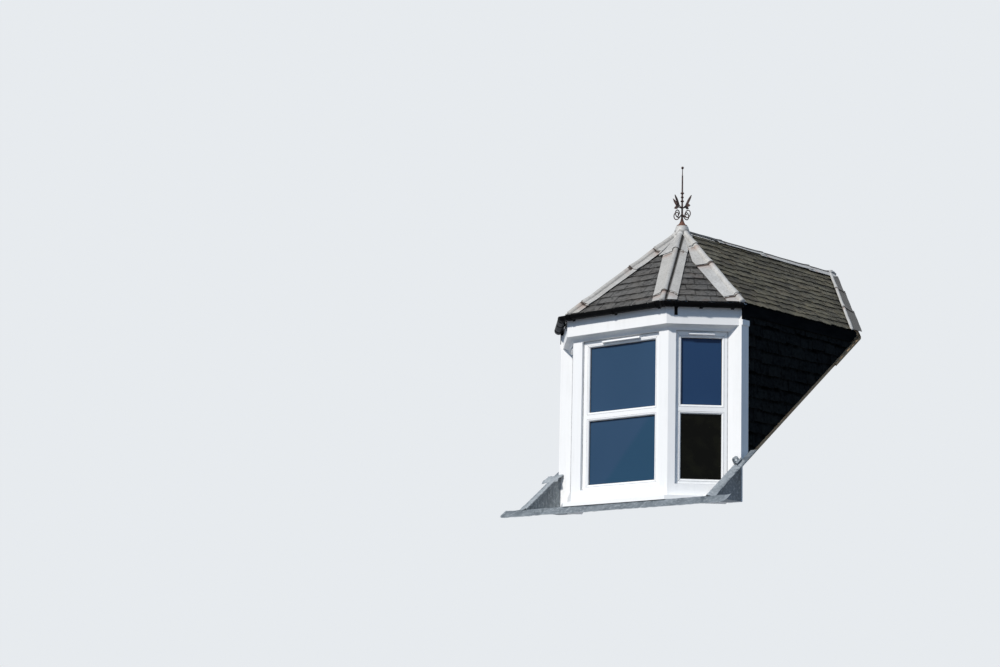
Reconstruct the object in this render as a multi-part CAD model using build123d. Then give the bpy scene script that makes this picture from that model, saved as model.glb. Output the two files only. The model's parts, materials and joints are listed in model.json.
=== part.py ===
from build123d import *
import math
import os

os.makedirs("parts", exist_ok=True)

# A canted bay dormer: a wide front window and two splayed side windows under a hipped slate roof
# that runs back into a pitched main roof. Millimetres, +X right along the facade, +Y into the
# building, +Z up. The origin is the middle of the front sole plate's underside, which lies on the
# sloping boards of the main roof.

# main roof
main_pitch = 38.0             # slope of the roof that carries the dormer, degrees
slate_cover = 57.0            # from the main roof's boards up to the face of its slates, plumb

# bay plan, measured on the outer face of the casings
wall_thickness = 130.0
front_width = 1045.0
splay_angle = 45.0
splay_length = 520.0          # splayed face, from the front corner to the return face
return_width = 105.0          # flat face that looks forward beside each splayed window
corner_board_width = 95.0     # white board round the corner on each cheek
return_board = 22.0           # facing board of the return where the post stops on the main roof

# heights
sill_z = -30.0                # underside of the sill
sill_thickness = 43.0
sill_nose = 70.0
sill_fall = 8.0
sill_drip = 12.0
window_rise = 137.0           # sill underside up to the window frames
window_height = 1273.0
fascia_lift = 50.0            # top of the window frames up to the fascia's lower edge
eave_lift = 188.0             # fascia's lower edge up to the slates' face at the eaves
roof_rise = 824.0             # eaves up to the ridge

# window frames
frame_depth = 70.0
frame_recess = 25.0
front_stile = 62.0
splay_stile = 48.0
bottom_rail = 43.0
top_rail = 56.0
transom = 74.0
lower_light = 541.0           # height of the lower pane's opening
front_casing = 101.0          # casing between the front window and the corner
splay_casing = 62.0           # casing between the corner and the splayed window
glass_thickness = 24.0
glass_rebate = 10.0
bead_chamfer = 8.0
vent_length = 413.0
splay_vent_length = 220.0
vent_height = 18.0
vent_depth = 14.0

# eaves
fascia_projection = 56.0
fascia_thickness = 18.0
bed_height = 60.0             # cove under the fascia
bed_lip = 12.0
bed_fillet = 8.0
bed_segments = 7
eave_overhang = 72.0
side_overhang = 20.0
side_fascia_projection = 8.0
side_fascia_drop = 80.0       # side fascia's lower edge above the front fascia's
gutter_radius = 38.0
gutter_wall = 3.0
gutter_clearance = 1.0        # slates' underside down to the gutter's lips
gutter_overrun = 86.0         # splayed gutter beyond the end of its window wall
bracket_width = 26.0
bracket_thickness = 4.0
bracket_inset = 54.0          # from a gutter's corner or end to the nearest strap
corner_bracket_tail = 58.0    # the straps at the front corners run down the fascia

# roof
apex_set_back = 811.0         # front face back to the apex
slate_layer = 22.0
deck_thickness = 80.0
board_thickness = 22.0
valley_board_width = 360.0    # from the valley line toward the front, along the ridge
valley_board_lap = 20.0       # beyond the valley line
sole_thickness = 30.0

# sheet metal
sheet = 6.0
front_wing = 135.0            # hip flashing on the front slope
splay_wing = 115.0            # hip flashing on the splayed slopes
side_wing = 50.0              # hip and ridge flashing on the side slopes
roll_radius = 26.0
ridge_roll = 11.0
cap_radius = 90.0
cap_depth = 160.0             # cap's cut through the hip rolls, each way from the ridge line
cap_height = 36.0             # boss under the finial, above the ridge line
cap_lift = 5.0                # cap over the flashings that it covers
valley_wing = 40.0            # valley sheet on the main roof, out to its rolled edge
valley_roll = 13.0
slate_clearance = 3.0         # between the valley sheet and the slates' cut edge
slate_set_back = 85.0         # dormer slates stop short of the valley line, along the ridge
apron_length = 150.0          # front face down to the apron's lower edge, in plan
apron_reach = 230.0           # apron beyond each side of the opening
side_strip = 65.0

# finial
finial_height = 540.0         # above the apex cap's top
foot_radius = 46.0
finial_stem = 8.0
scroll_middle = 110.0         # centre of the scrolls, up the stem and out from it
scroll_out = 58.0
scroll_radius = 38.0
scroll_eye = 12.0             # radius at which a scroll ends
scroll_bar = 4.5
leaf_low = 176.0
leaf_high = 268.0
leaf_reach = 103.0
leaf_width = 11.0
leaf_thickness = 7.0
collar_height = 298.0         # topmost of three beads
bead_pitch = 36.0
spike_step = 457.0            # the stem ends here and a thinner spike goes on
ball_radius = 12.0

tall = 4000.0
slope = math.tan(math.radians(main_pitch))
half_turn = math.radians(splay_angle)
mitre = math.tan(half_turn / 2)
front_y = -wall_thickness / 2
half_front = front_width / 2
return_y = front_y + splay_length * math.sin(half_turn)
junction_x = half_front + splay_length * math.cos(half_turn)
side_x = junction_x + return_width
apex_y = front_y + apex_set_back
base_z = sill_z - sheet
window_z = sill_z + window_rise
window_top = window_z + window_height
fascia_z = window_top + fascia_lift
eave_z = fascia_z + eave_lift
ridge_z = eave_z + roof_rise

nodes = {}


def splay_point(along, outward):
    """Plan point on the right splayed face: distance from the front corner and out from the face."""
    x = half_front + along * math.cos(half_turn) + outward * math.sin(half_turn)
    y = front_y + along * math.sin(half_turn) - outward * math.cos(half_turn)
    return (x, y)


def prism(points, low, high):
    """Upright prism on a plan outline."""
    wire = Wire.make_polygon([(x, y, low) for x, y in points], close=True)
    return extrude(Face(wire), amount=high - low, dir=(0, 0, 1))


def slab(points, drop):
    """Slab of plumb thickness drop under a sloping outline."""
    return extrude(Face(Wire.make_polygon(points, close=True)), amount=drop, dir=(0, 0, -1))


def both(name, right):
    """Store a right-hand piece and its mirror image as two nodes."""
    nodes[name + "_right"] = right
    nodes[name + "_left"] = mirror(right, Plane.YZ)


def pair(name, right):
    """Store a right-hand piece and its mirror image as one node of two solids."""
    nodes[name] = Compound(list(right.solids()) + list(mirror(right, Plane.YZ).solids()))


def main_z(y, above=0.0):
    """Height of a plane parallel to the main roof, above its boards."""
    return y * slope + above


def above_main(above):
    """Everything over a plane parallel to the main roof."""
    near, far = -1000.0, 4200.0
    outline = [(-tall / 2, near, main_z(near, above)), (-tall / 2, far, main_z(far, above)),
               (-tall / 2, far, 2 * tall), (-tall / 2, near, 2 * tall)]
    return extrude(Face(Wire.make_polygon(outline, close=True)), amount=tall, dir=(1, 0, 0))


# Roof planes: plan corners, with the height of the slates' face at each
eave_front = (half_front + eave_overhang * mitre, front_y - eave_overhang)
eave_side_x = side_x + side_overhang
eave_along = (eave_side_x - splay_point(0, eave_overhang)[0]) / math.cos(half_turn)
eave_side = splay_point(eave_along, eave_overhang)
apex = (0.0, apex_y)


def crossing(height, above):
    """Depth at which the main roof's plane reaches a height."""
    return (height - above) / slope


def facet(kind, drop=0.0, set_back=0.0):
    """Outline of a right-hand roof plane, lowered by drop, its rear edge moved forward by set_back."""
    low, high = eave_z - drop, ridge_z - drop
    front = (eave_front[0], eave_front[1], low)
    side = (eave_side[0], eave_side[1], low)
    top = (apex[0], apex[1], high)
    if kind == "front":
        return [(-front[0], front[1], low), front, top]
    if kind == "splay":
        return [front, side, top]
    rear_low = (eave_side_x, crossing(low, slate_cover) - set_back, low)
    rear_high = (0.0, crossing(high, slate_cover) - set_back, high)
    return [side, rear_low, rear_high, top]


def under_roof(drop):
    """Everything below the roof planes lowered by drop."""
    front = slab(facet("front", drop), tall)
    splay = slab(facet("splay", drop), tall)
    side = slab(facet("side", drop), tall)
    return front + splay + side + mirror(splay, Plane.YZ) + mirror(side, Plane.YZ)


def bay_plan(outward, half_width, rear):
    """Plan of the bay's front and splayed faces moved outward, between two side planes."""
    corner = (half_front + outward * mitre, front_y - outward)
    along = (half_width - splay_point(0, outward)[0]) / math.cos(half_turn)
    side = splay_point(along, outward)
    left_side = (-side[0], side[1])
    left_corner = (-corner[0], corner[1])
    return [(-half_width, rear), left_side, left_corner, corner, side, (half_width, rear)]


roof_space = under_roof(slate_layer + deck_thickness)
slate_bed = under_roof(slate_layer)
slate_face = under_roof(0)

# Sole plates lie on the main roof's boards
sole_half = half_front - front_casing
sole_profile = [(-sole_half, front_y, main_z(front_y)), (-sole_half, -front_y, main_z(-front_y)),
                (-sole_half, -front_y, main_z(-front_y, sole_thickness)),
                (-sole_half, front_y, main_z(front_y, sole_thickness))]
nodes["front_sole_plate"] = extrude(Face(Wire.make_polygon(sole_profile, close=True)),
                                    amount=2 * sole_half, dir=(1, 0, 0))
cheek_front = return_y + corner_board_width
eave_rear = crossing(eave_z, slate_cover)
plate_rear = eave_rear - 60.0
side_sole = slab([(side_x - wall_thickness, cheek_front, main_z(cheek_front, sole_thickness)),
                  (side_x, cheek_front, main_z(cheek_front, sole_thickness)),
                  (side_x, plate_rear, main_z(plate_rear, sole_thickness)),
                  (side_x - wall_thickness, plate_rear, main_z(plate_rear, sole_thickness))],
                 sole_thickness)
pair("side_sole_plates", side_sole)

# Base walls carry the windows
front_inner = half_front - wall_thickness * mitre
front_wall_plan = [(-sole_half, front_y), (sole_half, front_y),
                   (sole_half, -front_y), (-sole_half, -front_y)]
nodes["front_base_wall"] = prism(front_wall_plan, base_z, window_z) & above_main(sole_thickness)
splay_window_start = splay_casing
splay_window_end = splay_length - frame_recess / math.tan(half_turn)
splay_wall_plan = [splay_point(splay_window_start, 0), splay_point(splay_length, 0),
                   splay_point(splay_window_end, -frame_recess),
                   splay_point(splay_window_end, -wall_thickness),
                   splay_point(splay_window_start, -wall_thickness)]
pair("splay_base_walls", prism(splay_wall_plan, base_z, window_z))

# Corner posts with their casings, and the end posts that turn onto the cheeks
gutter_z = eave_z - slate_layer - gutter_clearance
gutter_mid = fascia_projection + bracket_thickness + gutter_radius
side_fascia_z = fascia_z + side_fascia_drop
cheek_out = side_x - slate_layer
corner_plan = [(sole_half, front_y), (half_front, front_y), splay_point(splay_window_start, 0),
               splay_point(splay_window_start, -wall_thickness), (front_inner, -front_y),
               (sole_half, -front_y)]
both("corner_post", prism(corner_plan, base_z, tall) & roof_space)


def mitred(profile, kind, end_y=None, end_along=None):
    """Bar along one run of the bay, from a profile of (outward, z) points, mitred at the corners.

    A splayed bar stops at the plane Y = end_y, or square at the distance end_along.
    """
    reach = 400.0
    outer = (half_front + reach * mitre, front_y - reach)
    if kind == "front":
        length = front_width + 2 * reach
        wire = Wire.make_polygon([(-length / 2, front_y - p, z) for p, z in profile], close=True)
        bar = extrude(Face(wire), amount=length, dir=(1, 0, 0))
        inner = (half_front - reach * mitre, front_y + reach)
        sector = [(-outer[0], outer[1]), outer, inner, (-inner[0], inner[1])]
        return bar & prism(sector, -tall, tall)
    start = splay_point(-reach, 0)
    wire = Wire.make_polygon([(start[0] + p * math.sin(half_turn), start[1] - p * math.cos(half_turn), z)
                              for p, z in profile], close=True)
    far_along = end_along if end_along else splay_length + 2 * reach
    bar = extrude(Face(wire), amount=far_along + reach, dir=(math.cos(half_turn), math.sin(half_turn), 0))
    rear = end_y if end_y else front_y + 2 * reach
    inner = (half_front - (rear - front_y) * mitre, rear)
    return bar & prism([outer, (side_x + reach, outer[1]), (side_x + reach, rear), inner], -tall, tall)


# Sill round the bay
sill_top = sill_z + sill_thickness
groove_z = sill_z + sill_drip / 2
sill_profile = [(0, sill_z), (sill_nose - 2 * sill_drip, sill_z), (sill_nose - 2 * sill_drip, groove_z),
                (sill_nose - sill_drip, groove_z), (sill_nose - sill_drip, sill_z),
                (sill_nose, sill_z), (sill_nose, sill_top - sill_fall), (0, sill_top)]
nodes["front_sill"] = mitred(sill_profile, "front")
pair("splay_sills", mitred(sill_profile, "splay", return_y))


# Windows: a frame with a transom, one pane above and one below
def light(width, stile, low, high):
    """Opening between the stiles, as a box through the frame."""
    opening = Box(width - 2 * stile, 3 * frame_depth, high - low)
    return Pos(width / 2, frame_depth / 2, (low + high) / 2) * opening


def window(width, stile, start, vent):
    """Frame, panes and vent of one window, with its lower left front corner at start."""
    lower_top = bottom_rail + lower_light
    upper_low = lower_top + transom
    upper_top = window_height - top_rail
    frame = Pos(width / 2, frame_depth / 2, window_height / 2) * Box(width, frame_depth, window_height)
    panes = []
    clear = width - 2 * stile
    for low, high in ((bottom_rail, lower_top), (upper_low, upper_top)):
        frame -= light(width, stile, low, high)
        pane = Pos(width / 2, frame_depth / 2, (low + high) / 2) * Box(
            clear + 2 * glass_rebate, glass_thickness, high - low + 2 * glass_rebate)
        frame -= pane
        panes.append(pane)
    face = frame.faces().sort_by(Axis.Y)[0]
    edges = []
    for wire in face.inner_wires():
        edges.extend(wire.edges())
    frame = chamfer(edges, bead_chamfer)
    vent_z = upper_top + top_rail * 0.62
    vent_body = Pos(width / 2, -vent_depth / 2, vent_z) * Box(vent, vent_depth, vent_height)
    vent_body = chamfer(vent_body.edges().filter_by(Axis.X).sort_by(Axis.Y)[:2], vent_depth / 3)
    return start * frame, [start * pane for pane in panes], start * vent_body


front_window_width = 2 * sole_half
front_frame, front_panes, front_vent = window(
    front_window_width, front_stile, Pos(-sole_half, front_y + frame_recess, window_z), vent_length)
nodes["front_window"] = front_frame
nodes["front_glass"] = Compound(front_panes)
splay_window_width = splay_window_end - splay_window_start
sx, sy = splay_point(splay_window_start, -frame_recess)
splay_frame, splay_panes, splay_vent = window(
    splay_window_width, splay_stile, Pos(sx, sy, window_z) * Rot(0, 0, splay_angle), splay_vent_length)
both("splay_window", splay_frame)
pair("splay_glass", Compound(splay_panes))
nodes["trickle_vents"] = Compound([front_vent, splay_vent, mirror(splay_vent, Plane.YZ)])

# Heads over the windows
nodes["front_head"] = prism(front_wall_plan, window_top, tall) & roof_space
pair("splay_heads", prism(splay_wall_plan, window_top, tall) & roof_space)

# Bed mould: a cove between a small lip at the foot and a flat fillet under the fascia
bed_foot = fascia_z - bed_height
cove_reach = fascia_projection - bed_lip - bed_fillet / 2
cove_rise = bed_height - bed_lip / 2 - bed_fillet
bed_profile = [(0, fascia_z), (0, bed_foot), (bed_lip, bed_foot)]
for step in range(bed_segments + 1):
    angle = math.radians(90 * step / bed_segments)
    bed_profile.append((bed_lip + cove_reach * (1 - math.cos(angle)),
                        bed_foot + bed_lip / 2 + cove_rise * math.sin(angle)))
bed_profile.append((fascia_projection, fascia_z - bed_fillet))
bed_profile.append((fascia_projection, fascia_z))
nodes["front_bed_mould"] = mitred(bed_profile, "front")
pair("splay_bed_moulds", mitred(bed_profile, "splay", return_y))

# Roof deck: rafters and boards, stopped behind the fascias
fascia_inner = fascia_projection - fascia_thickness
deck_plan = prism(bay_plan(fascia_inner, cheek_out, tall), 0, tall)
deck_floor = above_main(board_thickness)
nodes["front_deck"] = slab(facet("front", slate_layer), deck_thickness) & deck_plan
splay_deck = slab(facet("splay", slate_layer), deck_thickness) & deck_plan
both("splay_deck", splay_deck)
side_deck = slab(facet("side", slate_layer), deck_thickness) & deck_plan & deck_floor
both("side_deck", side_deck)
nodes["front_slates"] = slab(facet("front"), slate_layer)
both("splay_slates", slab(facet("splay"), slate_layer))
both("side_slates", slab(facet("side", 0, slate_set_back), slate_layer))

# Fascias: front and splays one height, the sides shallower
fascia_top = eave_z + eave_overhang
fascia_profile = [(fascia_inner, fascia_z), (fascia_projection, fascia_z), (fascia_projection, fascia_top),
                  (fascia_inner, fascia_top)]
nodes["front_fascia"] = mitred(fascia_profile, "front") & slate_bed
side_fascia_x = side_x + side_fascia_projection
corner_block = prism([(0, -tall), (side_fascia_x, -tall), (side_fascia_x, tall), (0, tall)], 0, tall)
splay_fascia = mitred(fascia_profile, "splay") & slate_bed & corner_block
pair("splay_fascias", splay_fascia)
side_plan = [(cheek_out, 0), (side_fascia_x, 0), (side_fascia_x, plate_rear), (cheek_out, plate_rear)]
inside_splay = prism(bay_plan(fascia_inner, side_fascia_x, tall), 0, tall)
side_fascia = prism(side_plan, side_fascia_z, tall) & slate_bed & inside_splay & above_main(slate_cover)
pair("side_fascias", side_fascia)

# End posts turn the bay onto the cheeks and carry the white corner boards
end_plan = [splay_point(splay_window_end, -frame_recess), (side_x, return_y), (side_x, cheek_front),
            (side_x - wall_thickness, cheek_front), splay_point(splay_window_end, -wall_thickness)]
gutter_low = gutter_z - gutter_radius - 2 * bracket_thickness
end_post = (prism(end_plan, base_z, tall) & roof_space) + prism(end_plan, base_z, gutter_low)
end_post &= above_main(0)
return_x = splay_point(splay_window_end, -frame_recess)[0]
facing_rear = return_y + return_board
facing = prism([(return_x, return_y), (side_x, return_y), (side_x, facing_rear), (return_x, facing_rear)],
               base_z, main_z(facing_rear))
both("end_post", end_post + facing - splay_fascia - side_fascia - splay_deck - side_deck)


# Gutter: half-round channel on the front and splayed runs, held by straps
def arc_points(radius, count, start=180.0, end=360.0):
    """Points of an arc below the gutter's lips, as (outward, z)."""
    points = []
    for i in range(count + 1):
        angle = math.radians(start + (end - start) * i / count)
        points.append((gutter_mid + radius * math.cos(angle), gutter_z + radius * math.sin(angle)))
    return points


outer_arc = arc_points(gutter_radius, 12)
gutter_profile = outer_arc + list(reversed(arc_points(gutter_radius - gutter_wall, 12)))
nodes["front_gutter"] = mitred(gutter_profile, "front")
gutter_end = splay_length + gutter_overrun


def splay_bar(profile, start, end):
    """Square-ended bar along the right splay."""
    wire = Wire.make_polygon([(*splay_point(start, p), z) for p, z in profile], close=True)
    return extrude(Face(wire), amount=end - start, dir=(math.cos(half_turn), math.sin(half_turn), 0))


stop_end = splay_bar(outer_arc, gutter_end - gutter_wall, gutter_end)
pair("splay_gutters", mitred(gutter_profile, "splay", None, gutter_end) + stop_end)


def strap_profile(tail):
    """Strap under the gutter with a foot on the fascia, as (outward, z); tail is the foot's length below."""
    foot = gutter_z - gutter_radius - bracket_thickness - tail
    return (outer_arc[:-1] + list(reversed(arc_points(gutter_radius + bracket_thickness, 9, 210, 345)))
            + [(fascia_projection + bracket_thickness, foot), (fascia_projection, foot),
               (fascia_projection, gutter_z)])


straps = []
for x in (bracket_inset - half_front, 0, half_front - bracket_inset):
    start_x = x - bracket_width / 2
    wire = Wire.make_polygon([(start_x, front_y - p, z) for p, z in strap_profile(0)], close=True)
    straps.append(extrude(Face(wire), amount=bracket_width, dir=(1, 0, 0)))
for along, tail in ((bracket_inset, corner_bracket_tail), (splay_length / 2, 0), (splay_length, 0)):
    strap = splay_bar(strap_profile(tail), along - bracket_width / 2, along + bracket_width / 2)
    straps.append(strap)
    straps.append(mirror(strap, Plane.YZ))
nodes["gutter_brackets"] = Compound(straps)

# Cheeks: framed walls hung with slates
cheek = prism([(side_x - wall_thickness, cheek_front), (cheek_out, cheek_front), (cheek_out, eave_rear),
               (side_x - wall_thickness, eave_rear)], 0, tall) & roof_space & above_main(sole_thickness)
pair("cheek_walls", cheek)
hung_plan = [(cheek_out, cheek_front), (side_x, cheek_front), (side_x, eave_rear), (cheek_out, eave_rear)]
pair("cheek_slates", prism(hung_plan, 0, side_fascia_z) & above_main(sole_thickness))

# Valley boards carry the rear edge of the deck
valley_low = (eave_side_x, crossing(eave_z - slate_layer, slate_cover))
valley_high = (0.0, crossing(ridge_z - slate_layer, slate_cover))
board_edges = [(eave_side_x, valley_low[1] - valley_board_width),
               (eave_side_x, valley_low[1] + valley_board_lap),
               (0.0, valley_high[1] + valley_board_lap),
               (0.0, valley_high[1] - valley_board_width)]
valley_board = slab([(x, y, main_z(y, board_thickness)) for x, y in board_edges], board_thickness)
cheek_inner = side_x - wall_thickness
cheek_plan = [(cheek_inner, 0), (side_x, 0), (side_x, plate_rear), (cheek_inner, plate_rear)]
pair("valley_boards", valley_board - prism(cheek_plan, -tall, tall))


# Hip, ridge and valley flashings
def plate(points):
    """Sheet lying on a roof plane, outlined by points of the plane."""
    return slab([tuple(Vector(*p) + Vector(0, 0, sheet)) for p in points], sheet)


def wing_outline(foot, head, other_foot, eave_dir, width):
    """Outer corners, at the eaves and at the apex, of a wing on the plane of foot, head and other_foot."""
    f, h, o = Vector(*foot), Vector(*head), Vector(*other_foot)
    hip = (f - h).normalized()
    other = (o - h).normalized()
    eave = Vector(*eave_dir).normalized()
    lean = math.acos(max(-1.0, min(1.0, hip.dot(eave * -1))))
    half = math.acos(hip.dot(other)) / 2
    bisector = (hip + other).normalized()
    return f + eave * (width / math.sin(lean)), h + bisector * (width / math.sin(half))


foot_front = (eave_front[0], eave_front[1], eave_z)
foot_front_left = (-eave_front[0], eave_front[1], eave_z)
foot_side = (eave_side[0], eave_side[1], eave_z)
foot_side_left = (-eave_side[0], eave_side[1], eave_z)
head = (apex[0], apex[1], ridge_z)
ridge_end = (0.0, crossing(ridge_z, slate_cover), ridge_z)
cap_space = Pos(apex[0], apex[1], ridge_z) * Cylinder(cap_radius, 2 * cap_depth)


def roll(start, end, radius):
    """Round roll along a hip or the ridge, half sunk in the slopes."""
    a, b = Vector(*start), Vector(*end)
    direction = b - a
    plane = Plane(origin=a, z_dir=direction)
    return extrude(plane * Circle(radius), amount=direction.length)


def hip(foot, wings):
    """One hip flashing: two wings with a roll between them, stopped at the apex cap."""
    body = None
    for other_foot, eave_dir, width in wings:
        outer, meet = wing_outline(foot, head, other_foot, eave_dir, width)
        piece = plate([foot, outer, meet, head])
        body = piece if body is None else body + piece
    body += roll(foot, head, roll_radius)
    return body - cap_space


splay_dir = (math.cos(half_turn), math.sin(half_turn), 0)
splay_back = (-math.cos(half_turn), -math.sin(half_turn), 0)
front_hip = hip(foot_front, [(foot_front_left, (-1, 0, 0), front_wing), (foot_side, splay_dir, splay_wing)])
side_hip = hip(foot_side, [(foot_front, splay_back, splay_wing), (ridge_end, (0, 1, 0), side_wing)])
both("front_hip", front_hip - slate_face)
both("side_hip", side_hip - slate_face)

ridge_body = None
for sign in (1, -1):
    h = Vector(*head)
    ridge_dir = Vector(0, 1, 0)
    hip_dir = (Vector(sign * foot_side[0], foot_side[1], foot_side[2]) - h).normalized()
    half = math.acos(hip_dir.dot(ridge_dir)) / 2
    bisector = (hip_dir + ridge_dir).normalized()
    meet = h + bisector * (side_wing / math.sin(half))
    down = Vector(sign * eave_side_x, 0, eave_z - ridge_z).normalized()
    far = Vector(*ridge_end)
    low_y = crossing(far.Z + down.Z * side_wing, slate_cover)
    low = Vector(down.X * side_wing, low_y, far.Z + down.Z * side_wing)
    piece = plate([h, far, low, meet])
    ridge_body = piece if ridge_body is None else ridge_body + piece
ridge_body += roll(head, ridge_end, ridge_roll)
ridge_flashing = ridge_body - cap_space - slate_face
nodes["ridge_flashing"] = ridge_flashing

# Apex cap: dressed over the ends of the hips and the ridge, with a boss under the finial
cap = cap_space & under_roof(-sheet - cap_lift)
for foot in (foot_front, foot_front_left, foot_side, foot_side_left):
    cap += roll(head, foot, roll_radius + cap_lift) & cap_space
cap += roll(head, ridge_end, ridge_roll + cap_lift) & cap_space
boss = Cone(foot_radius + 3 * cap_lift, foot_radius + cap_lift, 2 * cap_height)
cap += Pos(apex[0], apex[1], ridge_z) * boss
nodes["apex_cap"] = cap - slate_face

# Finial: a turned stem on a flared foot, with four scrolls below and four forked leaves above
neck = finial_stem - 1
stem_profile = [(0, 0), (foot_radius, 0), (foot_radius, 8), (foot_radius * 0.6, 20),
                (foot_radius * 0.36, 44), (finial_stem + 1, 72),
                (finial_stem, collar_height - 3 * bead_pitch)]
for bead, radius in ((2, 15), (1, 13), (0, 16)):
    bead_z = collar_height - bead * bead_pitch
    stem_profile += [(neck, bead_z - 10), (radius, bead_z - 3), (radius, bead_z + 3), (neck, bead_z + 10)]
stem_profile += [(neck - 1, spike_step), (neck - 3, spike_step + 4), (neck - 4, finial_height - ball_radius),
                 (0, finial_height - ball_radius)]
stem = revolve(Face(Wire.make_polygon([(r, 0, z) for r, z in stem_profile], close=True)), Axis.Z, 360)
ball = Pos(0, 0, finial_height - ball_radius) * Sphere(ball_radius)
scroll_points = [(finial_stem / 2, 0, scroll_middle)]
for angle in range(-140, 261, 40):
    closing = max(0.0, (angle + 60) / 320)
    radius = scroll_radius + (scroll_eye - scroll_radius) * closing
    scroll_points.append((scroll_out + radius * math.cos(math.radians(angle)), 0,
                          scroll_middle + radius * math.sin(math.radians(angle))))
scroll_path = Spline(*scroll_points)
scroll = sweep((scroll_path ^ 0) * Circle(scroll_bar), scroll_path)
fork = (leaf_reach * 0.45, leaf_low + 10)
leaf_arm = Line((finial_stem / 2, 0, leaf_low - 14), (fork[0], 0, fork[1]))
arm = sweep((leaf_arm ^ 0) * Circle(scroll_bar), leaf_arm)


def leaf(tip, bulge):
    """Flat leaf from the fork to its tip, bulge wide on each side, as (out, z)."""
    length = math.hypot(tip[0] - fork[0], tip[1] - fork[1])
    side = ((tip[1] - fork[1]) / length * bulge, -(tip[0] - fork[0]) / length * bulge)
    start = (fork[0] - (tip[0] - fork[0]) * 0.15, fork[1] - (tip[1] - fork[1]) * 0.15)
    middle = ((fork[0] + tip[0]) / 2, (fork[1] + tip[1]) / 2)
    edge = (ThreePointArc(start, (middle[0] + side[0], middle[1] + side[1]), tip)
            + ThreePointArc(tip, (middle[0] - side[0], middle[1] - side[1]), start))
    return extrude(Plane.XZ * make_face(edge), amount=leaf_thickness / 2, both=True)


leaves = leaf((leaf_reach, leaf_high), leaf_width) + leaf((leaf_reach * 0.86, leaf_low), leaf_width * 1.2)
finial = stem + ball
for turn in range(4):
    finial += Rot(0, 0, 90 * turn) * (scroll + arm + leaves)
nodes["finial"] = Pos(apex[0], apex[1], ridge_z + cap_height) * finial

# Valley flashings: one wing on the face of the main roof's slates, one on the deck
run = Vector(valley_high[0] - valley_low[0], valley_high[1] - valley_low[1], 0)
across_y = abs(run.X) / run.length
valley_upper_wing = slate_set_back - slate_layer / slope - slate_clearance


def on_main(x, y, above=0.0):
    """Point on the face of the main roof's slates."""
    return (x, y, main_z(y, slate_cover + above))


roll_low = Vector(*on_main(eave_side_x, valley_low[1] + valley_wing / across_y, sheet))
roll_high = Vector(*on_main(0, valley_high[1] + valley_wing / across_y, sheet))
roll_axis = roll_high - roll_low
valley_edge = extrude(Plane(origin=roll_low, z_dir=roll_axis) * Circle(valley_roll), amount=roll_axis.length)
main_corners = [on_main(-tall, -tall), on_main(tall, -tall), on_main(tall, tall), on_main(-tall, tall)]
main_face = slab(main_corners, tall)
lower_wing = slab([on_main(eave_side_x, valley_low[1], sheet),
                   on_main(eave_side_x, valley_low[1] + valley_wing / across_y, sheet),
                   on_main(0, valley_high[1] + valley_wing / across_y, sheet),
                   on_main(0, valley_high[1], sheet)], sheet)
deck_low = (eave_side_x, valley_low[1], eave_z - slate_layer + sheet)
deck_high = (0.0, valley_high[1], ridge_z - slate_layer + sheet)
upper_wing = slab([deck_low, deck_high, (0.0, deck_high[1] - valley_upper_wing, deck_high[2]),
                   (eave_side_x, deck_low[1] - valley_upper_wing, deck_low[2])], sheet)
valley = (lower_wing + upper_wing + (valley_edge - main_face)) - ridge_flashing
centre_slot = prism([(-2, 0), (2, 0), (2, tall), (-2, tall)], 0, tall)
pair("valley_flashings", valley - centre_slot)

# Lead at the foot of the bay: an apron dressed under the sill, level corner trays and side strips
lead_y = front_y - apron_length
tray_y = crossing(sill_z, slate_cover + sheet)
apron_half = side_x + apron_reach
apron_profile = [(lead_y, main_z(lead_y, slate_cover)), (lead_y, main_z(lead_y, slate_cover + sheet)),
                 (tray_y, sill_z), (front_y, sill_z), (front_y, sill_z - sheet), (tray_y, sill_z - sheet)]
apron_middle = extrude(Face(Wire.make_polygon([(-half_front, y, z) for y, z in apron_profile], close=True)),
                       amount=front_width, dir=(1, 0, 0))
apron_sides = slab([on_main(half_front, lead_y, sheet), on_main(apron_half, lead_y, sheet),
                    on_main(apron_half, tray_y, sheet), on_main(half_front, tray_y, sheet)], sheet)
nodes["lead_apron"] = apron_middle + apron_sides + mirror(apron_sides, Plane.YZ)
tray_side = side_x + sheet
tray = prism([(half_front, tray_y), (tray_side, tray_y), (tray_side, return_y), (junction_x, return_y),
              (half_front, front_y)], sill_z - sheet, sill_z)
strip_rear = cheek_front + side_strip / 2
strip = slab([on_main(side_x, tray_y, sheet), on_main(side_x + side_strip, tray_y, sheet),
              on_main(side_x + side_strip, strip_rear, sheet), on_main(side_x, strip_rear, sheet)], sheet)
upstand_outline = [(side_x, tray_y, sill_z - sheet), (side_x, return_y, sill_z - sheet),
                   on_main(side_x, return_y), on_main(side_x, tray_y)]
upstand = extrude(Face(Wire.make_polygon(upstand_outline, close=True)), amount=sheet, dir=(1, 0, 0))
both("corner_lead", tray + strip + upstand)

for name, shape in nodes.items():
    export_step(shape, f"parts/{name}.step")
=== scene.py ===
"""Canted bay dormer: white windows and boards, slated hipped roof, dressed metal hips and an iron finial."""

import json
import math

import bmesh
import bpy
import numpy as np
from mathutils import Matrix, Vector


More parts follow.
